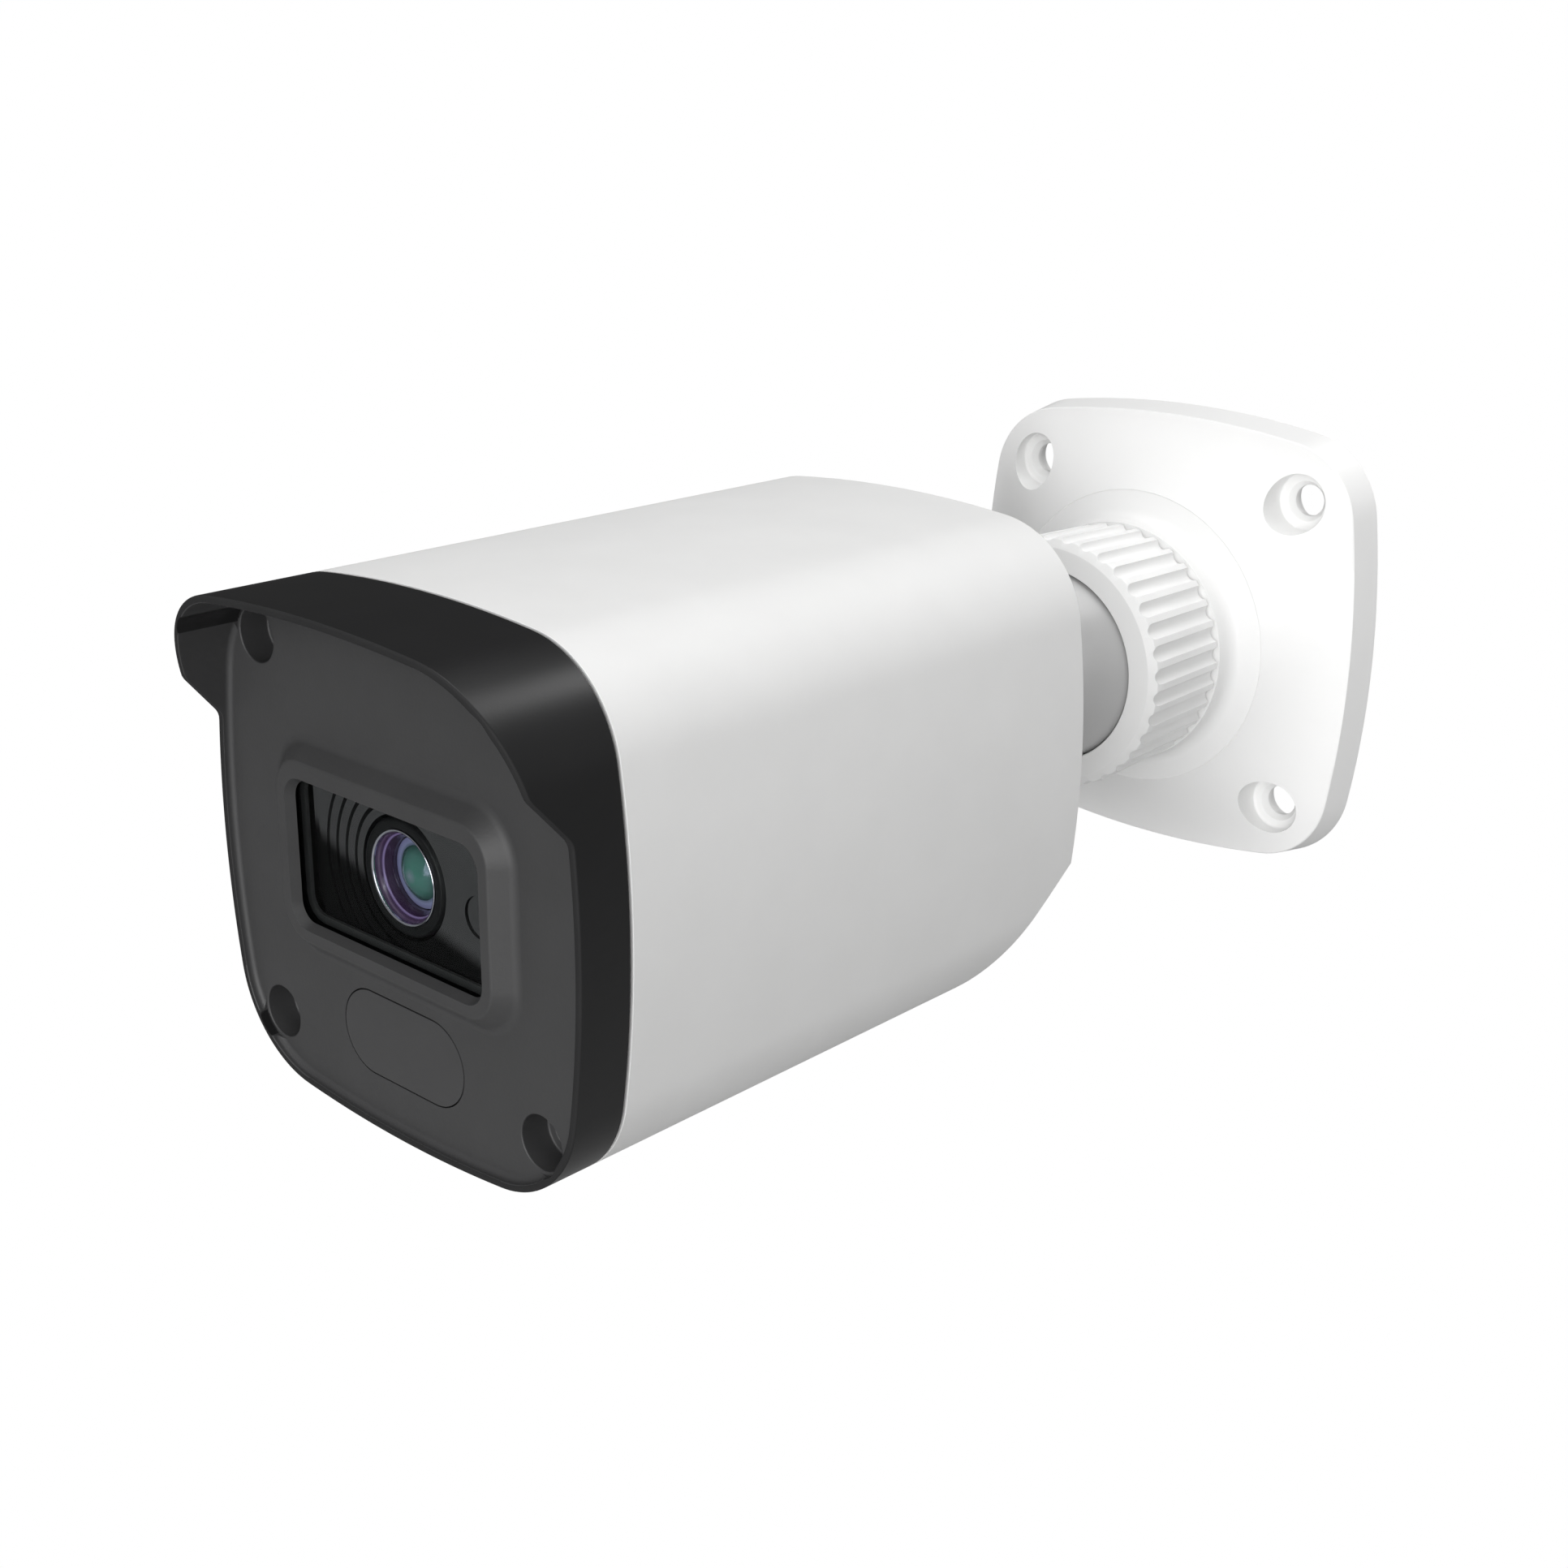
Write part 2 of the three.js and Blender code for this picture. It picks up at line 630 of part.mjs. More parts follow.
function frontCover() {
  const shell = prism(bodySection(0), -HOOD_REACH, COVER_BACK);
  const recess = prism(bodySection(LIP), -3 * HOOD_REACH, FACE_DEPTH);
  const cavity = prism(sealLoop(2.4), FACE_BACK, COVER_BACK + THROUGH);
  const sealGroove = prism(sealLoop(-GAP), COVER_BACK - 1.05, COVER_BACK + THROUGH).subtract(
    prism(sealLoop(SEAL_INSET), 0, COVER_BACK + 2 * THROUGH),
  );
  const posts = corners(POST.x, POST.z).map((place) =>
    rod(2.4, FACE_BACK - 0.5, SENSOR_BOARD_DEPTH - GAP, { ...place, sides: 12 }),
  );
  const pocketWall = prism(
    roundedRectangle(GLASS.halfWidth + 1.5, GLASS.halfHeight + 1.5, GLASS.radius + 1.5),
    FACE_BACK - 0.5,
    POCKET_BACK,
  );
  const ledPosts = ledScrewPlaces().map((place) =>
    rod(1.9, FACE_BACK - 0.5, LED_BOARD_DEPTH - GAP, { ...place, sides: 12 }),
  );
  const solids = cut(shell, [recess, hoodCutter(), cavity, sealGroove]);
  const built = join([solids, bezel(), pocketWall, ...posts, ...ledPosts]);

  const { halfWidth, halfHeight, radius } = WINDOW;
  const window = prism(roundedRectangle(halfWidth, halfHeight, radius), -5, 1);
  const pocket = prism(
    roundedRectangle(GLASS.halfWidth + GAP, GLASS.halfHeight + GAP, GLASS.radius),
    0.1,
    8,
  );
  const infraredPocket = prism(stadium(IR_RADIUS + GAP / 1.5), -5, 2.5);
  const infraredOpening = prism(stadium(IR_RADIUS - 0.85), -5, 8);
  const screwHoles = corners(COVER_SCREW).flatMap((place) => [
    rod(SCREW_RECESS.radius, -HOOD_REACH, SCREW_RECESS.depth, { ...place, sides: 16 }),
    rod(SCREW_SEAT.radius, 0, SCREW_SEAT.depth, { ...place, sides: 12 }),
    rod(COVER_SCREW_SIZE.hole, 0, 12, { ...place, sides: 8 }),
  ]);
  const postHoles = corners(POST.x, POST.z).map((place) =>
    rod(BOARD_SCREW_SIZE.hole, 14, 30, { ...place, sides: 8 }),
  );
  const ledPostHoles = ledScrewPlaces().map((place) =>
    rod(LED_SCREW_SIZE.hole - 0.1, FACE_BACK + 0.5, 12, { ...place, sides: 8 }),
  );
  return cut(built, [
    window,
    pocket,
    infraredPocket,
    infraredOpening,
    ...screwHoles,
    ...postHoles,
    ...ledPostHoles,
  ]);
}

const coverSeal = () =>
  prism(sealLoop(0), COVER_BACK - 0.75, COVER_BACK).subtract(prism(sealLoop(1.4), 0, 10));

// ---------------------------------------------------------------- window and lens

const windowGlass = () =>
  prism(roundedRectangle(GLASS.halfWidth, GLASS.halfHeight, GLASS.radius), 0.4, 1.4);

const windowSeal = () =>
  prism(roundedRectangle(GLASS.halfWidth, GLASS.halfHeight, GLASS.radius), 1.7, 2.1).subtract(
    prism(roundedRectangle(GLASS.halfWidth - 1, GLASS.halfHeight - 1, GLASS.radius - 0.9), 0, 5),
  );

const infraredWindow = () => prism(stadium(IR_RADIUS), FACE_DEPTH - 0.05, 2.2);

// The light trap round the lens: a black plate with a short tube behind it.
function lightBaffle() {
  const plate = prism(
    roundedRectangle(GLASS.halfWidth - 0.1, GLASS.halfHeight - 0.1, GLASS.radius),
    LENS_FRONT,
    LENS_FRONT + 1.2,
  );
  const sleeve = rod(8.6, LENS_FRONT + 1, 7);
  return cut(plate.add(sleeve), [rod(LENS_HEAD_RADIUS + 0.35, 0, 10)]);
}

const lensBarrel = () =>
  turned([
    [5.9, LENS_FRONT],
    [LENS_HEAD_RADIUS - 0.3, LENS_FRONT],
    [LENS_HEAD_RADIUS, LENS_FRONT + 0.3],
    [LENS_HEAD_RADIUS, 5.3],
    [LENS_THREAD_RADIUS, 5.8],
    [LENS_THREAD_RADIUS, LENS_BACK],
    [4.1, LENS_BACK],
    [4.1, 6.2],
    [5.6, 5.2],
    [5.6, 3.2],
    [5.9, 3.2],
  ]);

// The bright ring that holds the front element.
const lensRing = () =>
  turned([
    [5.1, LENS_FRONT + 0.1],
    [5.6, LENS_FRONT - 0.1],
    [5.6, LENS_FRONT + 0.5],
    [5.3, LENS_FRONT + 0.5],
    [5.3, LENS_FRONT + 0.9],
    [5.1, LENS_FRONT + 0.9],
  ]);

// A lens element: a disc with a spherical front and back face of the given bulges.
function lensElement(radius, front, back, frontBulge, backBulge) {
  const pieces = 3;
  const bulgeAt = (bulge, r) => bulge * (1 - (r / radius) ** 2);
  const profile = [];
  for (let i = 0; i <= pieces; i++) {
    const r = (radius * i) / pieces;
    profile.push([r, front - bulgeAt(frontBulge, r)]);
  }
  for (let i = pieces; i >= 0; i--) {
    const r = (radius * i) / pieces;
    profile.push([r, back + bulgeAt(backBulge, r)]);
  }
  const points = profile.map(([r, y]) => new THREE.Vector2(r, y));
  return solid(new THREE.LatheGeometry(points, 24));
}

const lensLockRing = () => tube(8, LENS_THREAD_RADIUS + GAP, 10.2, 11.7);

const FILTER_SLOT = { front: 17.2, back: 18.9 };

function lensHolder() {
  const body = join([
    rod(9.2, 12, 17),
    block(20, 20, 16, SENSOR_BOARD_DEPTH - GAP),
    block(26, 6, 20, SENSOR_BOARD_DEPTH - GAP),
  ]);
  const slot = block(40, 10, FILTER_SLOT.front, FILTER_SLOT.back);
  const bore = rod(LENS_THREAD_RADIUS + GAP, 0, FILTER_SLOT.front + 0.5);
  const well = block(13, 13, FILTER_SLOT.back - 0.5, 30);
  return cut(body, [slot, bore, well]);
}

// The frame that slides the two filters across the lens axis, and the filters in it.
const FILTER_FRAME = { front: 17.5, back: 18.6 };

function filterFrame() {
  const frame = block(FILTER_TRAVEL + 9.4, 9.4, FILTER_FRAME.front, FILTER_FRAME.back, {
    x: FILTER_TRAVEL / 2,
  });
  const panes = [0, FILTER_TRAVEL].map((x) => block(7, 7, 10, 30, { x }));
  return cut(frame, panes);
}

const filterPane = (x) => block(6.4, 6.4, FILTER_FRAME.front + 0.2, FILTER_FRAME.back - 0.4, { x });

function filterCoil() {
  const bobbin = rod(2.6, 12.4, 18.6, { z: 13.4, sides: 20 });
  const yoke = block(13, 2, 12.6, 18.4, { z: 11.6 });
  return bobbin.add(yoke).add(block(3, 5, 12.4, 13.4, { z: 12.6 }));
}

// ---------------------------------------------------------------- boards

function board(halfWidth, halfHeight, depth, holes) {
  const plate = prism(
    roundedRectangle(halfWidth, halfHeight, 2, { pieces: 3 }),
    depth,
    depth + BOARD_THICKNESS,
  );
  const screwHole = BOARD_SCREW_SIZE.hole + 0.05;
  return cut(plate, holes.map((place) => rod(screwHole, 0, 60, { ...place, sides: 12 })));
}

const sensorBoard = () => board(21.5, 17, SENSOR_BOARD_DEPTH, corners(POST.x, POST.z));
const mainBoard = () => board(21.5, 20, MAIN_BOARD_DEPTH, corners(POST.x, POST.z));

const standoff = (place) =>
  cut(
    join([
      rod(2.5, SENSOR_BOARD_DEPTH + BOARD_THICKNESS + GAP, MAIN_BOARD_DEPTH - GAP, {
        ...place,
        sides: 6,
      }),
      rod(BOARD_SCREW_SIZE.shank, 16, SENSOR_BOARD_DEPTH + 2, { ...place, sides: 10 }),
    ]),
    [rod(BOARD_SCREW_SIZE.hole, 28, 40, { ...place, sides: 10 })],
  );

// The stack behind the main board: processor, heat-conducting pad and heat sink.
const BOARD_BACK = MAIN_BOARD_DEPTH + BOARD_THICKNESS + GAP;
const PROCESSOR_BACK = BOARD_BACK + 1.4;
const PAD_BACK = PROCESSOR_BACK + GAP + 1.5;
const SINK_WIDTH = 24;

function heatSink() {
  const front = PAD_BACK + GAP;
  const base = block(SINK_WIDTH, SINK_WIDTH, front, front + 1.7);
  const count = 7;
  const pitch = 3.8;
  const fins = Array.from({ length: count }, (_, i) =>
    block(1, SINK_WIDTH, front + 1.2, front + 8.2, { x: (i - (count - 1) / 2) * pitch }),
  );
  return join([base, ...fins]);
}

function pinHeader(width, height, front, back, place) {
  return block(width, height, front, back, place).subtract(
    block(width - 1.6, height - 1.6, back - 2.5, back + 1, place),
  );
}

const LED_BOARD_DEPTH = 8.2;
const LED_SCREW = 12.8; // distance of the LED board's screws from the middle plane

const ledScrewPlaces = () => [-LED_SCREW, LED_SCREW].map((x) => ({ x, z: IR_CENTRE + 2 }));

function ledBoard() {
  const outline = roundedRectangle(15.4, 4.4, 2, { z: IR_CENTRE + 1.4, pieces: 3 });
  const plate = prism(outline, LED_BOARD_DEPTH, LED_BOARD_DEPTH + BOARD_THICKNESS);
  const holes = ledScrewPlaces().map((place) =>
    rod(LED_SCREW_SIZE.hole, 0, 20, { ...place, sides: 8 }),
  );
  return cut(plate, holes);
}

const ledGuard = () =>
  prism(stadium(IR_RADIUS + 0.2), FACE_BACK + GAP, LED_BOARD_DEPTH - GAP).subtract(
    prism(stadium(IR_RADIUS - 0.6), 0, 12),
  );

// An infrared emitter: a square package with a dome lens.
function infraredLed(x) {
  const base = block(3.5, 3.5, 6.6, LED_BOARD_DEPTH - GAP, { x, z: IR_CENTRE });
  const dome = new THREE.SphereGeometry(1.6, 12, 8);
  dome.translate(x, 6.3, IR_CENTRE);
  return base.add(solid(dome));
}

const lightSensor = () => block(1.8, 1.2, 7.2, LED_BOARD_DEPTH - GAP, { z: IR_CENTRE });

// ---------------------------------------------------------------- assembly

const camera = new THREE.Group();
const bracket = new THREE.Group();
const head = new THREE.Group();
head.position.y = -(BALL_STANDOFF + RIM_TO_BALL);
camera.add(bracket, head);

const place = (group, name, shape, material) => group.add(mesh(name, shape, material));

place(bracket, "wall_plate", wallPlate(), whitePlastic);
place(bracket, "ball_seat", ballSeat(), nylon);
place(bracket, "friction_ring", frictionRing(), nylon);
place(bracket, "clamp_ring", clampRing(), whitePlastic);

place(head, "ball", ball(), whitePaint);
place(head, "ball_clip", ballClip(), steel);
place(head, "ball_stem", ballStem(), whitePaint);
place(head, "stem_seal", stemSeal(), blackRubber);
place(head, "cable_grommet", cableGrommet(), blackRubber);
stemScrewPlaces().forEach((spot, i) => {
  const headBack = BODY_LENGTH - BODY_WALL - GAP;
  const shape = screw(STEM_SCREW_SIZE, headBack - 2.1, headBack, STEM_FRONT + 6.2, spot);
  place(head, `stem_screw_${i + 1}`, shape, steel);
});

place(head, "housing_shell", housingShell(), whitePaint);
place(head, "front_cover", frontCover(), blackPlastic);
place(head, "cover_seal", coverSeal(), blackRubber);
corners(COVER_SCREW).forEach((spot, i) => {
  const headBack = SCREW_SEAT.depth - GAP;
  const shape = screw(COVER_SCREW_SIZE, headBack - 1, headBack, COVER_SCREW_TIP, spot);
  place(head, `cover_screw_${i + 1}`, shape, steel);
});

place(head, "window_glass", windowGlass(), clearGlass);
place(head, "window_seal", windowSeal(), blackRubber);
place(head, "infrared_window", infraredWindow(), smokedAcrylic);
place(head, "light_baffle", lightBaffle(), blackPlastic);
place(head, "lens_barrel", lensBarrel(), blackMetal);
place(head, "lens_ring", lensRing(), steel);
place(head, "lens_front_element", lensElement(4.9, 4, 4.8, 1.2, 0), coatedGlass);
place(head, "lens_middle_element", lensElement(3.7, 8.6, 9.4, 0.6, 0.6), coatedGlass);
place(head, "lens_rear_element", lensElement(3.7, 14, 14.8, 0.3, 0.7), coatedGlass);
place(head, "lens_lock_ring", lensLockRing(), blackMetal);
place(head, "lens_holder", lensHolder(), blackPlastic);
place(head, "filter_frame", filterFrame(), blackPlastic);
place(head, "infrared_filter", filterPane(0), redGlass);
place(head, "clear_filter", filterPane(FILTER_TRAVEL), clearGlass);
place(head, "filter_coil", filterCoil(), copper);

place(head, "sensor_board", sensorBoard(), greenBoard);
place(head, "image_sensor", block(9, 8, 20.6, SENSOR_BOARD_DEPTH - GAP), chipBlack);
place(head, "main_board", mainBoard(), greenBoard);
corners(POST.x, POST.z).forEach((spot, i) => {
  place(head, `standoff_${i + 1}`, standoff(spot), steel);
});
corners(POST.x, POST.z).forEach((spot, i) => {
  const shape = screw(BOARD_SCREW_SIZE, BOARD_BACK, BOARD_BACK + 1.5, 29, spot);
  place(head, `board_screw_${i + 1}`, shape, steel);
});
place(head, "board_plug", block(18, 4.4, 23.6, 28.1, { z: -9.5 }), chipBlack);
place(head, "board_socket", block(19.5, 5.4, 28.4, 33, { z: -9.5 }), chipBlack);
place(head, "processor", block(15, 15, BOARD_BACK, PROCESSOR_BACK), chipBlack);
place(head, "thermal_pad", block(14.4, 14.4, PROCESSOR_BACK + GAP, PAD_BACK), padGrey);
place(head, "heat_sink", heatSink(), aluminium);
place(head, "cable_header", pinHeader(12, 5, BOARD_BACK, 41, { z: 16 }), nylon);
place(head, "led_board", ledBoard(), greenBoard);
ledScrewPlaces().forEach((spot, i) => {
  const headFront = LED_BOARD_DEPTH + BOARD_THICKNESS + GAP;
  const shape = screw(LED_SCREW_SIZE, headFront, headFront + 1.2, 4.6, spot);
  place(head, `led_screw_${i + 1}`, shape, steel);
});
place(head, "led_guard", ledGuard(), blackRubber);
place(head, "infrared_led_1", infraredLed(IR_HALF_SPACING - 0.6), clearGlass);
place(head, "infrared_led_2", infraredLed(0.6 - IR_HALF_SPACING), clearGlass);
place(head, "light_sensor", lightSensor(), chipBlack);

export default camera;
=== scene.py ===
import json
from math import atan2, cos, hypot, pi, radians, sin, sqrt, tan

import bmesh
import bpy
import numpy as np
from mathutils import Matrix, Vector


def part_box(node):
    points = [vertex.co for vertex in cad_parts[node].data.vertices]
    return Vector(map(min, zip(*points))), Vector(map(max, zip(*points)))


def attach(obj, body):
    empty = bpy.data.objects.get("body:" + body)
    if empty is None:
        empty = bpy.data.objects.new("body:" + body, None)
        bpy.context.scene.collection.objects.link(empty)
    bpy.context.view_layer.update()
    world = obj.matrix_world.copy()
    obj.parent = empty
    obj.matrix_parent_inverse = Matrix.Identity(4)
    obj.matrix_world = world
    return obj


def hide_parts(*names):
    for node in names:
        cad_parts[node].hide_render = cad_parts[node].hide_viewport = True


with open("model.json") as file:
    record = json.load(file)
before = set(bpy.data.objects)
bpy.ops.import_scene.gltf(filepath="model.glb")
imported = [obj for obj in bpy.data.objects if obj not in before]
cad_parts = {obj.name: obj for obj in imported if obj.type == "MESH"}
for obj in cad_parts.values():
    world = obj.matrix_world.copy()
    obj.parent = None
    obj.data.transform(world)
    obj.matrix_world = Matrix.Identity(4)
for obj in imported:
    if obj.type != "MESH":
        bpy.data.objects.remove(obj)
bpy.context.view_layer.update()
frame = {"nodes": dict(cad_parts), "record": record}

# Every size below is in millimetres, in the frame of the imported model: the wall is the plane y = 0
# and the lens looks along -Y. Depths on the camera head count from the front rim of its cover.

MM = 0.001
GAP = 0.3


def cad_corners(node):
    """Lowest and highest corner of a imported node, in millimetres."""
    low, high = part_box(node)
    return Vector(low) / MM, Vector(high) / MM


cover_low, cover_high = cad_corners("front_cover")
shell_low, shell_high = cad_corners("housing_shell")
plate_low, plate_high = cad_corners("wall_plate")
ring_low, ring_high = cad_corners("clamp_ring")
ball_low, ball_high = cad_corners("ball")

HOOD_REACH = 8.75
RIM_Y = cover_low.y + HOOD_REACH
BODY_WIDTH = cover_high.x - cover_low.x
BODY_HEIGHT = cover_high.z - cover_low.z
BODY_LENGTH = shell_high.y - RIM_Y
SHELL_FRONT = shell_low.y - RIM_Y
COVER_BACK = SHELL_FRONT - GAP
SLANT_START = -13.4
SLANT_SLOPE = 1.056
BODY_WALL = 2.2

LIP = 0.9
FACE_DEPTH = 1.1
FACE_BACK = 3.3
COVER_SCREW = 23.5
SCREW_RECESS_RADIUS, SCREW_RECESS_DEPTH = 3.25, 4.9
SCREW_SEAT_RADIUS, SCREW_SEAT_DEPTH = 2.15, 6.3
IR_CENTRE = -20.26
IR_HALF_SPACING = 5.54
IR_RADIUS = 5.15

# Half sizes of the rounded rectangles round the window, and the height of its opening's centre.
WINDOW_OPENING = (16.55, 8.7)
WINDOW_CENTRE = -0.3
WINDOW_PANE = (17.8, 9.6)
WINDOW_POCKET = (18.1, 9.9)
POCKET_WALL = (19.3, 11.1)
BEZEL_CREST = (18.5, 11.0)
BAFFLE_HALF = (17.7, 9.5)
BAFFLE_FRONT, BAFFLE_THICKNESS = 2.4, 1.2
LENS_BORE = 7.35

PLATE_WIDTH = plate_high.x - plate_low.x
PLATE_EDGE = 5.9
WALL_HOLE_SPACING = 47.6
SCREW_LEDGE = 4.3
CREASE_RADIUS = 23.3
CREASE_HEIGHT = 12.5
THREAD_RADIUS = 16.6
COLLAR_BACK, COLLAR_FRONT = -17.0, -27.8
SOCKET_BACK = -17.1
CABLE_HOLE = 9
PLATE_WALL = 3.5
HOLLOW_SHOULDER, HOLLOW_DEPTH = -2.6, -9.5
HOLLOW_RADIUS = 20
HOLLOW_CORE = CABLE_HOLE + 2.5
SCREW_COLUMN = 6.3
WALL_SCREW_HEAD, WALL_SCREW_HOLE, WALL_SCREW_RELIEF = 4.45, 2.35, 3.4
RING_FRONT = -ring_low.y
RING_BACK = -ring_high.y
RING_RADIUS = ring_high.x
RING_SHOULDER = 33.0
FLUTES = 36
FLUTE_START = -34.5
FLUTE_CUTTER, FLUTE_DEPTH = 1.2, 1.0
BALL_RADIUS = 15.0
BALL_BORE = 6.3
BALL_Y = -30.2


# ------------------------------------------------------------------ outlines and profiles


def circle_point(centre_x, centre_y, radius, angle):
    return (centre_x + radius * cos(angle), centre_y + radius * sin(angle))


def arc(centre_x, centre_y, radius, start, end, pieces):
    """Points on an arc without its last point, so that arcs can follow each other."""
    angles = [start + (end - start) * i / pieces for i in range(pieces)]
    return [circle_point(centre_x, centre_y, radius, angle) for angle in angles]


def bulged_rectangle(half_x, half_z, side_bulge, top_bulge, corner, inset=0.0, per_side=80, per_corner=24):
    """A rectangle with bulging sides that run smoothly into round corners, moved in by an inset."""
    side_x = half_x - side_bulge
    top_z = half_z - top_bulge
    reach_side = side_bulge - corner
    reach_top = top_bulge - corner
    apart = hypot(side_x, top_z)
    along = (reach_side**2 - reach_top**2 + apart**2) / (2 * apart)
    across = sqrt(reach_side**2 - along**2)
    corner_x = side_x - (along * side_x + across * top_z) / apart
    corner_z = (along * top_z - across * side_x) / apart
    low = atan2(corner_z, corner_x - side_x)
    high = atan2(corner_z - top_z, corner_x)
    sides = [
        (side_x, 0, side_bulge, -low, low, per_side),
        (corner_x, corner_z, corner, low, high, per_corner),
        (0, top_z, top_bulge, high, pi - high, per_side),
        (-corner_x, corner_z, corner, pi - high, pi - low, per_corner),
        (-side_x, 0, side_bulge, pi - low, pi + low, per_side),
        (-corner_x, -corner_z, corner, pi + low, pi + high, per_corner),
        (0, -top_z, top_bulge, pi + high, 2 * pi - high, per_side),
        (corner_x, -corner_z, corner, 2 * pi - high, 2 * pi - low, per_corner),
    ]
    points = []
    for x, z, radius, start, end, pieces in sides:
        points += arc(x, z, radius - inset, start, end, pieces)
    return points


def body_section(inset=0.0):
    return bulged_rectangle(BODY_WIDTH / 2, BODY_HEIGHT / 2, 125, 172, 14, inset)


def plate_outline(inset=0.0):
    half = PLATE_WIDTH / 2
    return bulged_rectangle(half, half, 146, 146, 13, inset, per_side=40, per_corner=24)


def rounded_rectangle(half_x, half_z, radius, centre_z=0.0, pieces=12):
    points = []
    signs = [(1, 1), (-1, 1), (-1, -1), (1, -1)]
    for quarter, (sign_x, sign_z) in enumerate(signs):
        x = sign_x * (half_x - radius)
        z = centre_z + sign_z * (half_z - radius)
        start = quarter * pi / 2
        points += arc(x, z, radius, start, start + pi / 2, pieces)
        points.append(circle_point(x, z, radius, start + pi / 2))
    return points


def stadium(radius):
    return rounded_rectangle(IR_HALF_SPACING + radius, radius, radius - 0.001, IR_CENTRE, 20)


def seal_loop(inset):
    return rounded_rectangle(28.6 - inset, 28.6 - inset, 23.5 - inset, pieces=24)


def softened(corners, pieces=6, closed=True):
    """A profile through (u, v, radius) corners, each rounded by an arc of its radius."""
    points = []
    last = len(corners) - 1
    for i, (u, v, radius) in enumerate(corners):
        here = Vector((u, v))
        if radius == 0 or (not closed and i in (0, last)):
            points.append((u, v))
            continue
        before = Vector(corners[i - 1][:2]) - here
        after = Vector(corners[(i + 1) % len(corners)][:2]) - here
        half_angle = before.angle(after) / 2
        reach = min(radius / tan(half_angle), 0.48 * before.length, 0.48 * after.length)
        start = here + before.normalized() * reach
        end = here + after.normalized() * reach
        bisector = (before.normalized() + after.normalized()).normalized()
        centre = here + bisector * (reach / cos(half_angle))
        for step in range(pieces + 1):
            spoke = (start - centre).lerp(end - centre, step / pieces).normalized()
            points.append(tuple(centre + spoke * (start - centre).length))
    return points


# ------------------------------------------------------------------ meshes


def mesh_object(name, vertices, faces, shift=0.0):
    """An object from millimetre vertices, moved along Y by a shift, with its faces turned outwards."""
    mesh = bpy.data.meshes.new(name)
    mesh.from_pydata([(x * MM, (y + shift) * MM, z * MM) for x, y, z in vertices], [], faces)
    work = bmesh.new()
    work.from_mesh(mesh)
    bmesh.ops.remove_doubles(work, verts=work.verts, dist=1e-7)
    bmesh.ops.recalc_face_normals(work, faces=work.faces)
    work.to_mesh(mesh)
    work.free()
    made = bpy.data.objects.new(name, mesh)
    bpy.context.scene.collection.objects.link(made)
    return made


def skin(rings, closed=False, first=0):
    """Faces over rings of equally many points, numbered from a first one; open skins get end caps."""
    count = len(rings[0])
    faces = []
    spans = len(rings) if closed else len(rings) - 1
    for ring in range(spans):
        here = first + ring * count
        there = first + ((ring + 1) % len(rings)) * count
        for i in range(count):
            j = (i + 1) % count
            faces.append((here + i, here + j, there + j, there + i))
    if not closed:
        end = first + len(rings) * count
        faces.append(tuple(range(first, first + count)))
        faces.append(tuple(range(end - count, end)))
    return faces


def loft(name, rings, closed=False, shift=0.0):
    """A skin over rings of equally many (x, y, z) points, capped at both ends or joined to itself."""
    vertices = [point for ring in rings for point in ring]
    return mesh_object(name, vertices, skin(rings, closed), shift)


def lathe(name, profile, segments=96, closed=False, shift=0.0, x=0.0, z=0.0):
    """A profile of (radius, y) points turned about the Y axis through (x, z)."""
    angles = [2 * pi * i / segments for i in range(segments)]
    rings = [[(x + r * cos(a), y, z + r * sin(a)) for a in angles] for r, y in profile]
    return loft(name, rings, closed, shift)


def flat_ring(outline, y):
    return [(x, y, z) for x, z in outline]


def prism(name, outline, front, back, shift=0.0):
    return loft(name, [flat_ring(outline, front), flat_ring(outline, back)], shift=shift)


def side_prism(name, outline, shift=0.0):
    """A (y, z) outline extruded along X, wider than the whole body."""
    rings = [[(x, y, z) for y, z in outline] for x in (-BODY_WIDTH, BODY_WIDTH)]
    return loft(name, rings, shift=shift)


def settle(target):
    """Applies the modifiers of an object to its mesh."""
    depsgraph = bpy.context.evaluated_depsgraph_get()
    result = bpy.data.meshes.new_from_object(target.evaluated_get(depsgraph))
    old = target.data
    target.modifiers.clear()
    target.data = result
    bpy.data.meshes.remove(old)
    return target


def combine(target, other, operation):
    modifier = target.modifiers.new(operation.lower(), "BOOLEAN")
    modifier.object = other
    modifier.operation = operation
    modifier.solver = "EXACT"
    settle(target)
    bpy.data.objects.remove(other)
    return target


def carve(target, *cutters):
    for cutter in cutters:
        combine(target, cutter, "DIFFERENCE")
    return target


def add(target, *others):
    for other in others:
        combine(target, other, "UNION")
    return target


def bevel(target, width, segments=4, angle=35):
    modifier = target.modifiers.new("bevel", "BEVEL")
    modifier.width = width * MM
    modifier.segments = segments
    modifier.limit_method = "ANGLE"
    modifier.angle_limit = radians(angle)
    modifier.miter_outer = "MITER_ARC"
    return settle(target)


def polish(target, sharp_angle=32):
    """Smooth shading that keeps sharp edges and lets the large faces stay flat."""
    mesh = target.data
    mesh.polygons.foreach_set("use_smooth", [True] * len(mesh.polygons))
    mesh.set_sharp_from_angle(angle=radians(sharp_angle))
    modifier = target.modifiers.new("weighted normals", "WEIGHTED_NORMAL")
    modifier.keep_sharp = True
    modifier.weight = 80
    return target


def finish_piece(piece, body, material, nodes=(), sharp_angle=32):
    polish(piece, sharp_angle)
    piece.data.materials.clear()
    piece.data.materials.append(material)
    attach(piece, body)
    if nodes:
        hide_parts(*nodes)
    return piece


def four_corners(distance):
    return [(distance, distance), (-distance, distance), (-distance, -distance), (distance, -distance)]


# ------------------------------------------------------------------ materials


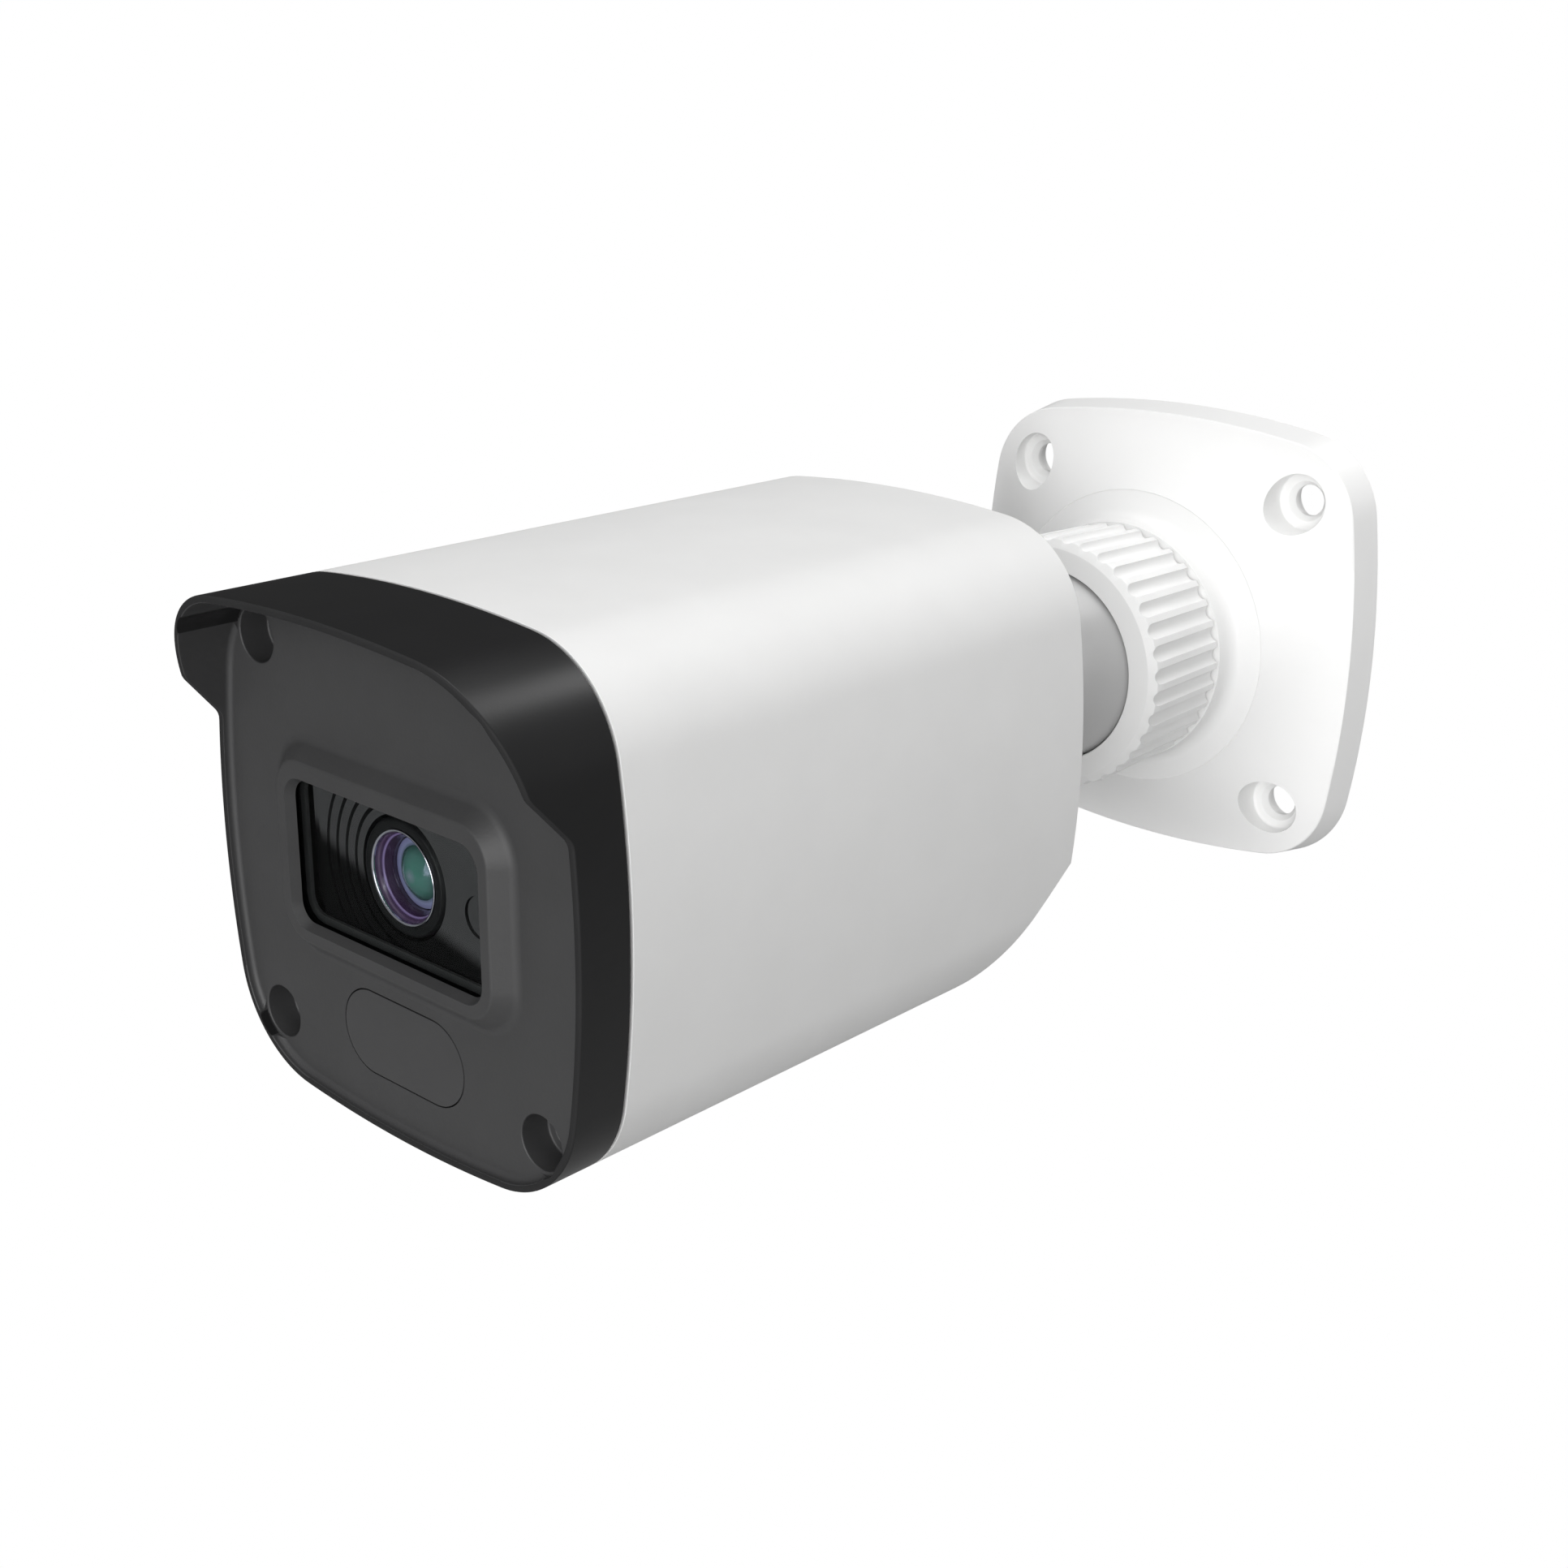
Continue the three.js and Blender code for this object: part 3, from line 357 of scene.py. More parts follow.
class Recipe:
    """A node material with object coordinates in millimetres feeding its textures."""

    def __init__(self, name, color, roughness, **settings):
        self.material = bpy.data.materials.new(name)
        self.material.use_nodes = True
        self.nodes = self.material.node_tree.nodes
        self.links = self.material.node_tree.links
        self.shader = self.nodes["Principled BSDF"]
        self.shader.inputs["Base Color"].default_value = (*color, 1)
        self.shader.inputs["Roughness"].default_value = roughness
        for socket, value in settings.items():
            self.shader.inputs[socket.replace("_", " ")].default_value = value
        self.color = color
        self.roughness = roughness
        self.coordinates = self.nodes.new("ShaderNodeTexCoord").outputs["Object"]

    def noise(self, size, detail=2.0, stretch=(1, 1, 1)):
        """Noise whose grains are about a size across, in millimetres."""
        mapping = self.nodes.new("ShaderNodeMapping")
        mapping.inputs["Scale"].default_value = stretch
        self.links.new(self.coordinates, mapping.inputs["Vector"])
        texture = self.nodes.new("ShaderNodeTexNoise")
        texture.inputs["Scale"].default_value = 1 / (size * MM)
        texture.inputs["Detail"].default_value = detail
        self.links.new(mapping.outputs["Vector"], texture.inputs["Vector"])
        return texture.outputs["Fac"]

    def grain(self, size, height, detail=2.0, stretch=(1, 1, 1)):
        """A bump of a grain size and height, both in millimetres."""
        bump = self.nodes.new("ShaderNodeBump")
        bump.inputs["Distance"].default_value = height * MM
        self.links.new(self.noise(size, detail, stretch), bump.inputs["Height"])
        self.links.new(bump.outputs["Normal"], self.shader.inputs["Normal"])
        return self

    def vary(self, size, amount, detail=3.0):
        """Lets the colour and the roughness wander a little over the surface."""
        patches = self.noise(size, detail)
        shades = self.nodes.new("ShaderNodeValToRGB")
        shades.color_ramp.elements[0].position = 0.3
        shades.color_ramp.elements[0].color = (*[c * (1 - amount) for c in self.color], 1)
        shades.color_ramp.elements[1].position = 0.7
        shades.color_ramp.elements[1].color = (*[min(1, c * (1 + amount)) for c in self.color], 1)
        self.links.new(patches, shades.inputs["Fac"])
        self.links.new(shades.outputs["Color"], self.shader.inputs["Base Color"])
        gloss = self.nodes.new("ShaderNodeMapRange")
        gloss.inputs["To Min"].default_value = self.roughness * (1 - amount)
        gloss.inputs["To Max"].default_value = self.roughness * (1 + amount)
        self.links.new(patches, gloss.inputs["Value"])
        self.links.new(gloss.outputs["Result"], self.shader.inputs["Roughness"])
        return self


def powder_coat():
    recipe = Recipe("powder_coat", (0.80, 0.80, 0.795), 0.55, Specular_IOR_Level=0.3)
    return recipe.vary(9, 0.012).grain(0.45, 0.008).material


def white_plastic():
    return Recipe("white_plastic", (0.88, 0.88, 0.875), 0.42).vary(14, 0.008).grain(0.7, 0.003).material


def ball_plastic_painted_shade():
    """The ball is greyer than the bracket round it, painted shade for the shadow of the head and the ring
    on it, and it is glossier.
    """
    recipe = Recipe("ball_plastic_painted_shade", (0.50, 0.50, 0.50), 0.33, Specular_IOR_Level=1.0)
    return recipe.vary(14, 0.008).grain(0.7, 0.002).material


def black_face():
    return Recipe("black_cover", (0.042, 0.042, 0.043), 0.5).vary(7, 0.04).grain(0.4, 0.012).material


def black_band():
    """The same moulding where it is smooth: the outside of the hood and the band, and the lip."""
    recipe = Recipe("black_band", (0.014, 0.014, 0.0145), 0.33, Specular_IOR_Level=0.33)
    return recipe.vary(7, 0.04).grain(0.3, 0.004).material


# The light baffle's own deep black; the cover's window pocket also wears it, as painted shade.
def baffle_black_and_pocket_shade():
    recipe = Recipe("baffle_black_and_pocket_shade", (0.0035, 0.0035, 0.0036), 0.8, Specular_IOR_Level=0.05)
    return recipe.vary(3, 0.1).material


def black_lip():
    """The narrow front edge of the hood and the rim, which is dull."""
    return Recipe("black_lip", (0.024, 0.024, 0.0245), 0.6, Specular_IOR_Level=0.1).vary(5, 0.04).material


def dark_plastic():
    return Recipe("dark_plastic", (0.012, 0.012, 0.013), 0.55).vary(3, 0.1).grain(0.2, 0.005).material


def smoked_acrylic():
    return Recipe("smoked_acrylic", (0.046, 0.046, 0.047), 0.32).vary(6, 0.03).grain(3, 0.004).material


def rubber():
    return Recipe("rubber", (0.02, 0.02, 0.02), 0.8).vary(2, 0.1).grain(0.25, 0.01).material


def nylon():
    return Recipe("nylon", (0.72, 0.71, 0.66), 0.45).vary(4, 0.03).grain(0.5, 0.004).material


def steel():
    recipe = Recipe("steel", (0.50, 0.50, 0.51), 0.32, Metallic=1.0)
    return recipe.vary(1.5, 0.08).grain(0.3, 0.003, stretch=(1, 6, 1)).material


def dark_steel():
    recipe = Recipe("dark_screw", (0.05, 0.05, 0.055), 0.4, Metallic=0.9)
    return recipe.vary(1.5, 0.1).grain(0.3, 0.003).material


def aluminium():
    recipe = Recipe("aluminium", (0.62, 0.63, 0.64), 0.36, Metallic=1.0)
    return recipe.vary(3, 0.06).grain(0.25, 0.004, stretch=(1, 1, 8)).material


def black_metal():
    recipe = Recipe("black_anodised", (0.006, 0.006, 0.0065), 0.45, Specular_IOR_Level=0.2)
    return recipe.vary(2, 0.1).grain(0.12, 0.002).material


def bright_ring():
    return Recipe("bright_ring", (0.75, 0.72, 0.80), 0.12, Metallic=1.0).vary(1, 0.05).material


def circuit_board():
    return Recipe("circuit_board", (0.02, 0.12, 0.05), 0.35).vary(1.2, 0.25, 6).grain(0.8, 0.02).material


def chip():
    return Recipe("chip", (0.03, 0.03, 0.032), 0.5).vary(1, 0.1).grain(0.15, 0.004).material


def gap_pad():
    return Recipe("gap_pad", (0.25, 0.29, 0.31), 0.85).vary(1, 0.08).grain(0.4, 0.02).material


def copper():
    recipe = Recipe("copper_winding", (0.50, 0.20, 0.09), 0.3, Metallic=1.0)
    return recipe.vary(0.8, 0.1).grain(0.25, 0.02, stretch=(0.2, 5, 0.2)).material


def clear_glass(name, tint, strength):
    """Thin clear glass: light passes straight through and a Fresnel share of it is mirrored."""
    recipe = Recipe(name, tint, 0.05)
    nodes, links = recipe.nodes, recipe.links
    through = nodes.new("ShaderNodeBsdfTransparent")
    through.inputs["Color"].default_value = (*tint, 1)
    mirror = nodes.new("ShaderNodeBsdfGlossy")
    mirror.inputs["Color"].default_value = (strength, strength, strength, 1)
    mirror.inputs["Roughness"].default_value = 0.02
    fresnel = nodes.new("ShaderNodeFresnel")
    fresnel.inputs["IOR"].default_value = 1.5
    front_side = nodes.new("ShaderNodeMath")
    front_side.operation = "SUBTRACT"
    front_side.inputs[0].default_value = 1
    links.new(nodes.new("ShaderNodeNewGeometry").outputs["Backfacing"], front_side.inputs[1])
    share = nodes.new("ShaderNodeMath")
    share.operation = "MULTIPLY"
    links.new(fresnel.outputs["Fac"], share.inputs[0])
    links.new(front_side.outputs["Value"], share.inputs[1])
    mix = nodes.new("ShaderNodeMixShader")
    links.new(share.outputs["Value"], mix.inputs["Fac"])
    links.new(through.outputs["BSDF"], mix.inputs[1])
    links.new(mirror.outputs["BSDF"], mix.inputs[2])
    links.new(mix.outputs["Shader"], nodes["Material Output"].inputs["Surface"])
    nodes.remove(recipe.shader)
    return recipe.material


def coated_glass_with_painted_light(name, stops, roughness):
    """An opaque coated lens surface, coloured by (radius, colour) stops in millimetres; the stops hold the
    coating's tint and also painted highlights and painted shade.
    """
    reach = 6
    recipe = Recipe(name, stops[0][1], roughness, Coat_Weight=1.0, Coat_Roughness=0.02)
    nodes, links = recipe.nodes, recipe.links
    split = nodes.new("ShaderNodeSeparateXYZ")
    links.new(recipe.coordinates, split.inputs["Vector"])
    radius = nodes.new("ShaderNodeVectorMath")
    radius.operation = "LENGTH"
    flat = nodes.new("ShaderNodeCombineXYZ")
    links.new(split.outputs["X"], flat.inputs["X"])
    links.new(split.outputs["Z"], flat.inputs["Z"])
    links.new(flat.outputs["Vector"], radius.inputs[0])
    span = nodes.new("ShaderNodeMapRange")
    span.inputs["From Max"].default_value = reach * MM
    links.new(radius.outputs["Value"], span.inputs["Value"])
    shades = nodes.new("ShaderNodeValToRGB")
    ramp = shades.color_ramp
    ramp.elements[0].position = stops[0][0] / reach
    ramp.elements[0].color = (*stops[0][1], 1)
    ramp.elements[1].position = stops[-1][0] / reach
    ramp.elements[1].color = (*stops[-1][1], 1)
    for distance, color in stops[1:-1]:
        ramp.elements.new(distance / reach).color = (*color, 1)
    links.new(span.outputs["Result"], shades.inputs["Fac"])
    links.new(shades.outputs["Color"], recipe.shader.inputs["Base Color"])
    return recipe.material


POWDER_COAT = powder_coat()
WHITE_PLASTIC = white_plastic()
BALL_PLASTIC_PAINTED_SHADE = ball_plastic_painted_shade()
BLACK_FACE = black_face()
BLACK_BAND = black_band()
BLACK_LIP = black_lip()
BAFFLE_BLACK_AND_POCKET_SHADE = baffle_black_and_pocket_shade()
DARK_PLASTIC = dark_plastic()
BLACK_METAL = black_metal()
STEEL = steel()

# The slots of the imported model's own pieces, most of them hidden inside the head.
SLOT_MATERIALS = {
    "white_housing": POWDER_COAT,
    "white_bracket": WHITE_PLASTIC,
    "black_cover": BLACK_FACE,
    "black_plastic": DARK_PLASTIC,
    "smoked_window": smoked_acrylic(),
    "window_glass": clear_glass("window_glass", (0.93, 0.95, 0.95), 0.12),
    "lens_glass": clear_glass("lens_glass", (0.75, 0.80, 0.95), 1.0),
    "filter_glass": clear_glass("filter_glass", (0.70, 0.45, 0.55), 1.0),
    "black_rubber": rubber(),
    "nylon": nylon(),
    "steel": STEEL,
    "black_metal": BLACK_METAL,
    "aluminium": aluminium(),
    "circuit_board": circuit_board(),
    "chip": chip(),
    "gap_pad": gap_pad(),
    "copper": copper(),
}


def dress_packed_nodes():
    for row in frame["record"]["subparts"]:
        node = frame["nodes"][row["node"]]
        node.data.materials.clear()
        node.data.materials.append(SLOT_MATERIALS[row["material_slot"]])


# ------------------------------------------------------------------ wall bracket


def plate_height(share):
    """Height of the pillow-shaped front from its rim (0) to the crease (1)."""
    return -PLATE_EDGE - (CREASE_HEIGHT - PLATE_EDGE) * share**1.3


def make_wall_plate():
    """The pillow-shaped plate with its collar and socket, hollow behind, with four screw columns."""
    front = plate_outline(0.9)
    angles = [atan2(z, x) for x, z in front]

    def circle(radius, y):
        return [(radius * cos(a), y, radius * sin(a)) for a in angles]

    rings = [flat_ring(plate_outline(0.25), 0), flat_ring(plate_outline(0.0), -0.3)]
    rings.append(flat_ring(plate_outline(0.85), -PLATE_EDGE + 0.15))
    rings.append(flat_ring(plate_outline(1.0), -PLATE_EDGE))
    steps = 16
    for step in range(1, steps + 1):
        share = step / steps
        ring = []
        for (x, z), angle in zip(plate_outline(1.0), angles):
            crease_x, crease_z = CREASE_RADIUS * cos(angle), CREASE_RADIUS * sin(angle)
            ring.append((
                x + (crease_x - x) * share,
                plate_height(share),
                z + (crease_z - z) * share,
            ))
        rings.append(ring)
    rings.append(circle(CREASE_RADIUS - 0.12, -CREASE_HEIGHT - 0.12))
    flare = softened([
        (CREASE_RADIUS - 0.3, -CREASE_HEIGHT - 0.05, 0),
        (19.0, -14.0, 3.5),
        (18.7, COLLAR_BACK, 0),
    ], 10, closed=False)
    collar = [
        (THREAD_RADIUS, COLLAR_BACK),
        (THREAD_RADIUS, COLLAR_FRONT),
        (BALL_RADIUS + GAP, COLLAR_FRONT),
    ]
    socket = [(BALL_RADIUS + GAP, SOCKET_BACK), (CABLE_HOLE, SOCKET_BACK), (CABLE_HOLE, 0)]
    rings += [circle(radius, y) for radius, y in flare + collar + socket]
    plate = loft("wall_plate_skin", rings, closed=True)

    inner = plate_outline(PLATE_WALL)
    inner_angles = [atan2(z, x) for x, z in inner]

    def inner_circle(radius, y):
        return [(radius * cos(a), y, radius * sin(a)) for a in inner_angles]

    hollow = loft("plate_hollow", [
        flat_ring(inner, 2),
        flat_ring(inner, HOLLOW_SHOULDER),
        inner_circle(HOLLOW_RADIUS, HOLLOW_DEPTH),
        inner_circle(HOLLOW_CORE, HOLLOW_DEPTH),
        inner_circle(HOLLOW_CORE, 2),
    ], closed=True)
    column = [(0, -12), (SCREW_COLUMN, -12), (SCREW_COLUMN, 4), (0, 4)]
    for x, z in four_corners(WALL_HOLE_SPACING / 2):
        carve(hollow, lathe("column", column, 48, x=x, z=z))
    carve(plate, hollow)
    screw_recess = softened([
        (0, -20, 0),
        (WALL_SCREW_HEAD, -20, 0),
        (WALL_SCREW_HEAD, -SCREW_LEDGE, 0.3),
        (3.05, -SCREW_LEDGE, 0.12),
        (WALL_SCREW_HOLE, -SCREW_LEDGE + 0.9, 0.1),
        (WALL_SCREW_HOLE, -SCREW_LEDGE + 1.7, 0),
        (WALL_SCREW_RELIEF, -SCREW_LEDGE + 1.7, 0),
        (WALL_SCREW_RELIEF, 2, 0),
        (0, 2, 0),
    ], 4, closed=False)
    for x, z in four_corners(WALL_HOLE_SPACING / 2):
        carve(plate, lathe("screw_recess", screw_recess, 64, x=x, z=z))
    return finish_piece(plate, "bracket", WHITE_PLASTIC, ["wall_plate"])


def ring_side(y):
    """Outside radius of the clamp ring, which tapers a little towards the wall."""
    share = min(1, max(0, (y + RING_SHOULDER) / (RING_SHOULDER - RING_BACK)))
    return RING_RADIUS - 0.55 * share


def flute_cutters():
    """The round-nosed cutters of all the flutes, leaning with the ring's taper, as one object."""
    sides = 28
    nose = FLUTE_START + FLUTE_CUTTER
    rows = []
    for i in range(9):
        turn = pi / 2 * i / 8
        rows.append((FLUTE_CUTTER * sin(turn), nose - FLUTE_CUTTER * cos(turn)))
    rows.append((FLUTE_CUTTER, -RING_BACK + 1))
    vertices, faces = [], []
    for flute in range(FLUTES):
        out = 2 * pi * (flute + 0.5) / FLUTES
        rings = []
        for radius, y in rows:
            middle = ring_side(y) + FLUTE_CUTTER - FLUTE_DEPTH
            centre_x, centre_z = middle * cos(out), middle * sin(out)
            ring = [circle_point(centre_x, centre_z, radius, 2 * pi * i / sides) for i in range(sides)]
            rings.append([(x, y, z) for x, z in ring])
        faces += skin(rings, first=len(vertices))
        vertices += [point for ring in rings for point in ring]
    return mesh_object("flutes", vertices, faces)


def make_clamp_ring():
    """The ring that clamps the ball: a turned section with its flutes cut round the outside."""
    section = softened([
        (THREAD_RADIUS + GAP, -RING_SHOULDER, 0),
        (15.0, -RING_SHOULDER, 0),
        (14.6, -34.9, 0.1),
        (14.75, -RING_FRONT, 0.12),
        (17.75, -RING_FRONT + 0.5, 0.35),
        (18.95, -34.0, 0.3),
        (RING_RADIUS, -RING_SHOULDER, 0.3),
        (ring_side(-RING_BACK), -RING_BACK, 0.3),
        (THREAD_RADIUS + GAP, -RING_BACK, 0),
    ], 6)
    ring = lathe("clamp_ring_fluted", section, 288, closed=True)
    carve(ring, flute_cutters())
    bevel(ring, 0.08, 2)
    return finish_piece(ring, "clamp_ring", WHITE_PLASTIC, ["clamp_ring"], 35)


def make_ball():
    """The ball, cut flat where its bore for the stem opens at either end."""
    neck_end = ball_low.y - BALL_Y
    back = ball_high.y - BALL_Y
    profile = [(BALL_BORE, BALL_Y + neck_end)]
    steps = 48
    for step in range(steps + 1):
        offset = neck_end + (back - neck_end) * step / steps
        profile.append((sqrt(BALL_RADIUS**2 - offset**2), BALL_Y + offset))
    profile.append((BALL_BORE, BALL_Y + back))
    ball = lathe("ball_polished", profile, 128, closed=True)
    return finish_piece(ball, "ball", BALL_PLASTIC_PAINTED_SHADE, ["ball"])


def make_stem():
    """The hollow stem: a flange against the housing's back, a neck, and a tube through the ball."""
    start = BODY_LENGTH + GAP
    ball_front = ball_low.y - RIM_Y
    outside = softened([
        (6.4, start, 0),
        (13.0, start, 0.4),
        (13.0, start + 3.4, 0.9),
        (11.8, start + 3.6, 0.8),
        (11.6, 94, 6),
        (8.2, 103, 8),
        (8.2, ball_front - GAP, 0.2),
        (6.0, ball_front - GAP, 0),
        (6.0, ball_front + 25.5, 0.2),
        (4.6, ball_front + 25.5, 0.2),
        (4.6, start, 0.3),
    ], 8)
    stem = lathe("stem_turned", outside, 128, closed=True, shift=RIM_Y)
    return finish_piece(stem, "camera_head", POWDER_COAT, ["ball_stem"])


# ------------------------------------------------------------------ housing and cover


def slant_cutter(wall):
    """Everything behind the back wall and the slanted lower back, moved in by a wall."""
    back = BODY_LENGTH - wall
    shift = wall * (hypot(1, SLANT_SLOPE) - 1)
    low = -BODY_HEIGHT
    outline = [
        (back - shift + SLANT_SLOPE * (low - SLANT_START), low),
        (2 * BODY_LENGTH, low),
        (2 * BODY_LENGTH, BODY_HEIGHT),
        (back, BODY_HEIGHT),
        (back, SLANT_START + shift / SLANT_SLOPE),
    ]
    return side_prism("slant_cutter", outline, RIM_Y)


def make_housing():
    shell = prism("housing_skin", body_section(), SHELL_FRONT, BODY_LENGTH + 2, RIM_Y)
    carve(shell, slant_cutter(0))
    bevel(shell, 0.7, 4)
    cavity = prism("cavity", body_section(BODY_WALL), SHELL_FRONT + 3, BODY_LENGTH + 2, RIM_Y)
    carve(cavity, slant_cutter(BODY_WALL))
    opening = prism("opening", seal_loop(1.7), 0, SHELL_FRONT + 3.5, RIM_Y)
    cable_hole = lathe("cable_hole", [(0, 80), (6.2, 80), (6.2, 90), (0, 90)], 48, shift=RIM_Y)
    carve(shell, cavity, opening, cable_hole)
    return finish_piece(shell, "camera_head", POWDER_COAT, ["housing_shell"])


def front_edge(z):
    """Depth of the cover's front edge at a height: hood, slant and rim, with soft bends."""
    top = BODY_HEIGHT / 2
    corners = softened([
        (top, -HOOD_REACH, 0),
        (18.4, -HOOD_REACH + 0.29 * (top - 18.4), 2.2),
        (12.9, 0, 2.2),
        (-top, 0, 0),
    ], 10, closed=False)
    heights = [height for height, _ in reversed(corners)]
    depths = [depth for _, depth in reversed(corners)]
    return float(np.interp(z, heights, depths))


def cover_ring(inset, drop, level=None):
    """A ring of the cover at an inset, either behind the front edge by a drop or at a fixed depth."""
    outer = body_section()
    ring = []
    for (x, z), (_, outer_z) in zip(body_section(inset), outer):
        y = front_edge(outer_z) + drop if level is None else level
        ring.append((x, y, z))
    return ring


def cover_blank():
    """The cover's band, hood, rounded lip and recessed face, without its openings."""
    outer_round, inner_round, fillet = 0.3, 0.2, 0.75
    quarter = [pi / 2 * i / 5 for i in range(6)]
    rings = [cover_ring(0.2, 0, COVER_BACK), cover_ring(0.0, 0, COVER_BACK - 0.2)]
    for angle in quarter:
        rings.append(cover_ring(outer_round * (1 - cos(angle)), outer_round * (1 - sin(angle))))
    for angle in quarter:
        inset = LIP - inner_round * (1 - sin(angle))
        rings.append(cover_ring(inset, inner_round * (1 - cos(angle))))
    for angle in quarter:
        inset = LIP + fillet * (1 - cos(angle))
        rings.append(cover_ring(inset, 0, FACE_DEPTH - fillet * (1 - sin(angle))))
    return loft("cover_skin", rings, shift=RIM_Y)


def bezel_block():
    """The raised frame round the window, with a soft foot, sloping flanks and a rounded crest."""
    crest = -1.0
    half_x, half_z = BEZEL_CREST
    profile = softened([
        (4.2, FACE_DEPTH + 0.6, 0),
        (4.2, FACE_DEPTH + 0.02, 0),
        (2.1, FACE_DEPTH, 1.8),
        (0.0, crest, 0.55),
        (-1.0, crest, 0),
    ], 8, closed=False)
    rings = []
    for out, y in profile:
        outline = rounded_rectangle(half_x + out, half_z + out, 4.2 + out)
        rings.append(flat_ring(outline, y))
    return loft("bezel", rings, shift=RIM_Y)


def window_tunnel():
    """The cutter of the window's opening, flared towards the front."""
    half_x, half_z = WINDOW_OPENING
    profile = softened([
        (2.3, -3.0, 0),
        (0.55, -1.0, 0.3),
        (0, 0.18, 0.05),
        (0, 4.0, 0),
    ], 5, closed=False)
    rings = []
    for out, y in profile:
        outline = rounded_rectangle(half_x + out, half_z + out, 2.4 + out, WINDOW_CENTRE)
        rings.append(flat_ring(outline, y))
    return loft("window_tunnel", rings, shift=RIM_Y)


def make_front_cover():
    cover = cover_blank()
    carve(cover, prism("cavity", seal_loop(2.4), FACE_BACK, 12, RIM_Y))
    add(cover, bezel_block())
    pocket_wall = rounded_rectangle(*POCKET_WALL, 4.6)
    add(cover, prism("pocket_wall", pocket_wall, FACE_BACK - 0.5, 4.6, RIM_Y))
    pocket = rounded_rectangle(*WINDOW_POCKET, 3.1)
    carve(cover, window_tunnel(), prism("pocket", pocket, 0.2, 8, RIM_Y))
    carve(cover, prism("infrared_pocket", stadium(IR_RADIUS + 0.17), -5, 2.5, RIM_Y))
    carve(cover, prism("infrared_opening", stadium(IR_RADIUS - 0.85), -5, 8, RIM_Y))
    mouth = SCREW_RECESS_RADIUS + 0.4
    recess = softened([
        (0, -9, 0),
        (mouth, -9, 0),
        (mouth, FACE_DEPTH, 0),
        (SCREW_RECESS_RADIUS, FACE_DEPTH, 0.4),
        (SCREW_RECESS_RADIUS, SCREW_RECESS_DEPTH, 0.25),
        (SCREW_SEAT_RADIUS, SCREW_RECESS_DEPTH, 0.15),
        (SCREW_SEAT_RADIUS, SCREW_SEAT_DEPTH, 0),
        (1.4, SCREW_SEAT_DEPTH, 0),
        (1.4, 12, 0),
        (0, 12, 0),
    ], 4, closed=False)
    for x, z in four_corners(COVER_SCREW):
        carve(cover, lathe("screw_recess", recess, 48, shift=RIM_Y, x=x, z=z))
    finish_piece(cover, "camera_head", BLACK_FACE, ["front_cover"])
    paint_cover(cover)


def paint_cover(cover):
    """Smooth black on the band, dull black on the lip, and the baffle's near-black on the pocket behind
    the window as painted shade.
    """
    for material in (BLACK_BAND, BLACK_LIP, BAFFLE_BLACK_AND_POCKET_SHADE):
        cover.data.materials.append(material)
    band, lip, pocket = 1, 2, 3
    faces_forward = -0.3
    pocket_half_x, pocket_half_z, pocket_front = 18.2, 10.5, 0.3
    outline = np.array(body_section())
    for face in cover.data.polygons:
        x, _, z = face.center / MM
        if np.hypot(outline[:, 0] - x, outline[:, 1] - z).min() < LIP:
            face.material_index = lip if face.normal.y < faces_forward else band
        behind_rim = face.center.y / MM - RIM_Y > pocket_front
        # The pocket walls behind the window are the cover's own plastic; the baffle's near-black on them
        # is painted shade for the dark recess.
        if abs(x) < pocket_half_x and abs(z) < pocket_half_z and behind_rim:
            face.material_index = pocket


def make_cover_screws():
    """Small dark steel screws with a cross recess, deep down in the cover's counterbores."""
    head = softened([
        (0, 5.05, 0),
        (1.2, 5.08, 0.8),
        (1.85, 5.4, 0.3),
        (1.85, 6.0, 0.1),
        (1.1, 6.0, 0.1),
        (1.1, 15.6, 0.2),
        (0.8, 16.0, 0),
        (0, 16.0, 0),
    ], 4, closed=False)
    material = dark_steel()
    for i, (x, z) in enumerate(four_corners(COVER_SCREW)):
        screw = lathe(f"cover_screw_detail_{i + 1}", head, 40, shift=RIM_Y, x=x, z=z)
        for width, height in ((0.5, 2.2), (2.2, 0.5)):
            outline = [(x + sx * width / 2, z + sz * height / 2) for sx, sz in four_corners(1)]
            carve(screw, prism("cross", outline, 4, 5.7, RIM_Y))
        finish_piece(screw, "camera_head", material, [f"cover_screw_{i + 1}"])


def make_infrared_window():
    pane = prism("infrared_pane", stadium(IR_RADIUS), FACE_DEPTH - 0.03, 2.2, RIM_Y)
    bevel(pane, 0.08, 2, 50)
    finish_piece(pane, "camera_head", SLOT_MATERIALS["smoked_window"], ["infrared_window"])


# ------------------------------------------------------------------ window and lens


def make_window():
    pane = prism("window_pane", rounded_rectangle(*WINDOW_PANE, 3.1), 0.4, 1.4, RIM_Y)
    bevel(pane, 0.12, 2, 50)
    finish_piece(pane, "camera_head", SLOT_MATERIALS["window_glass"], ["window_glass"])


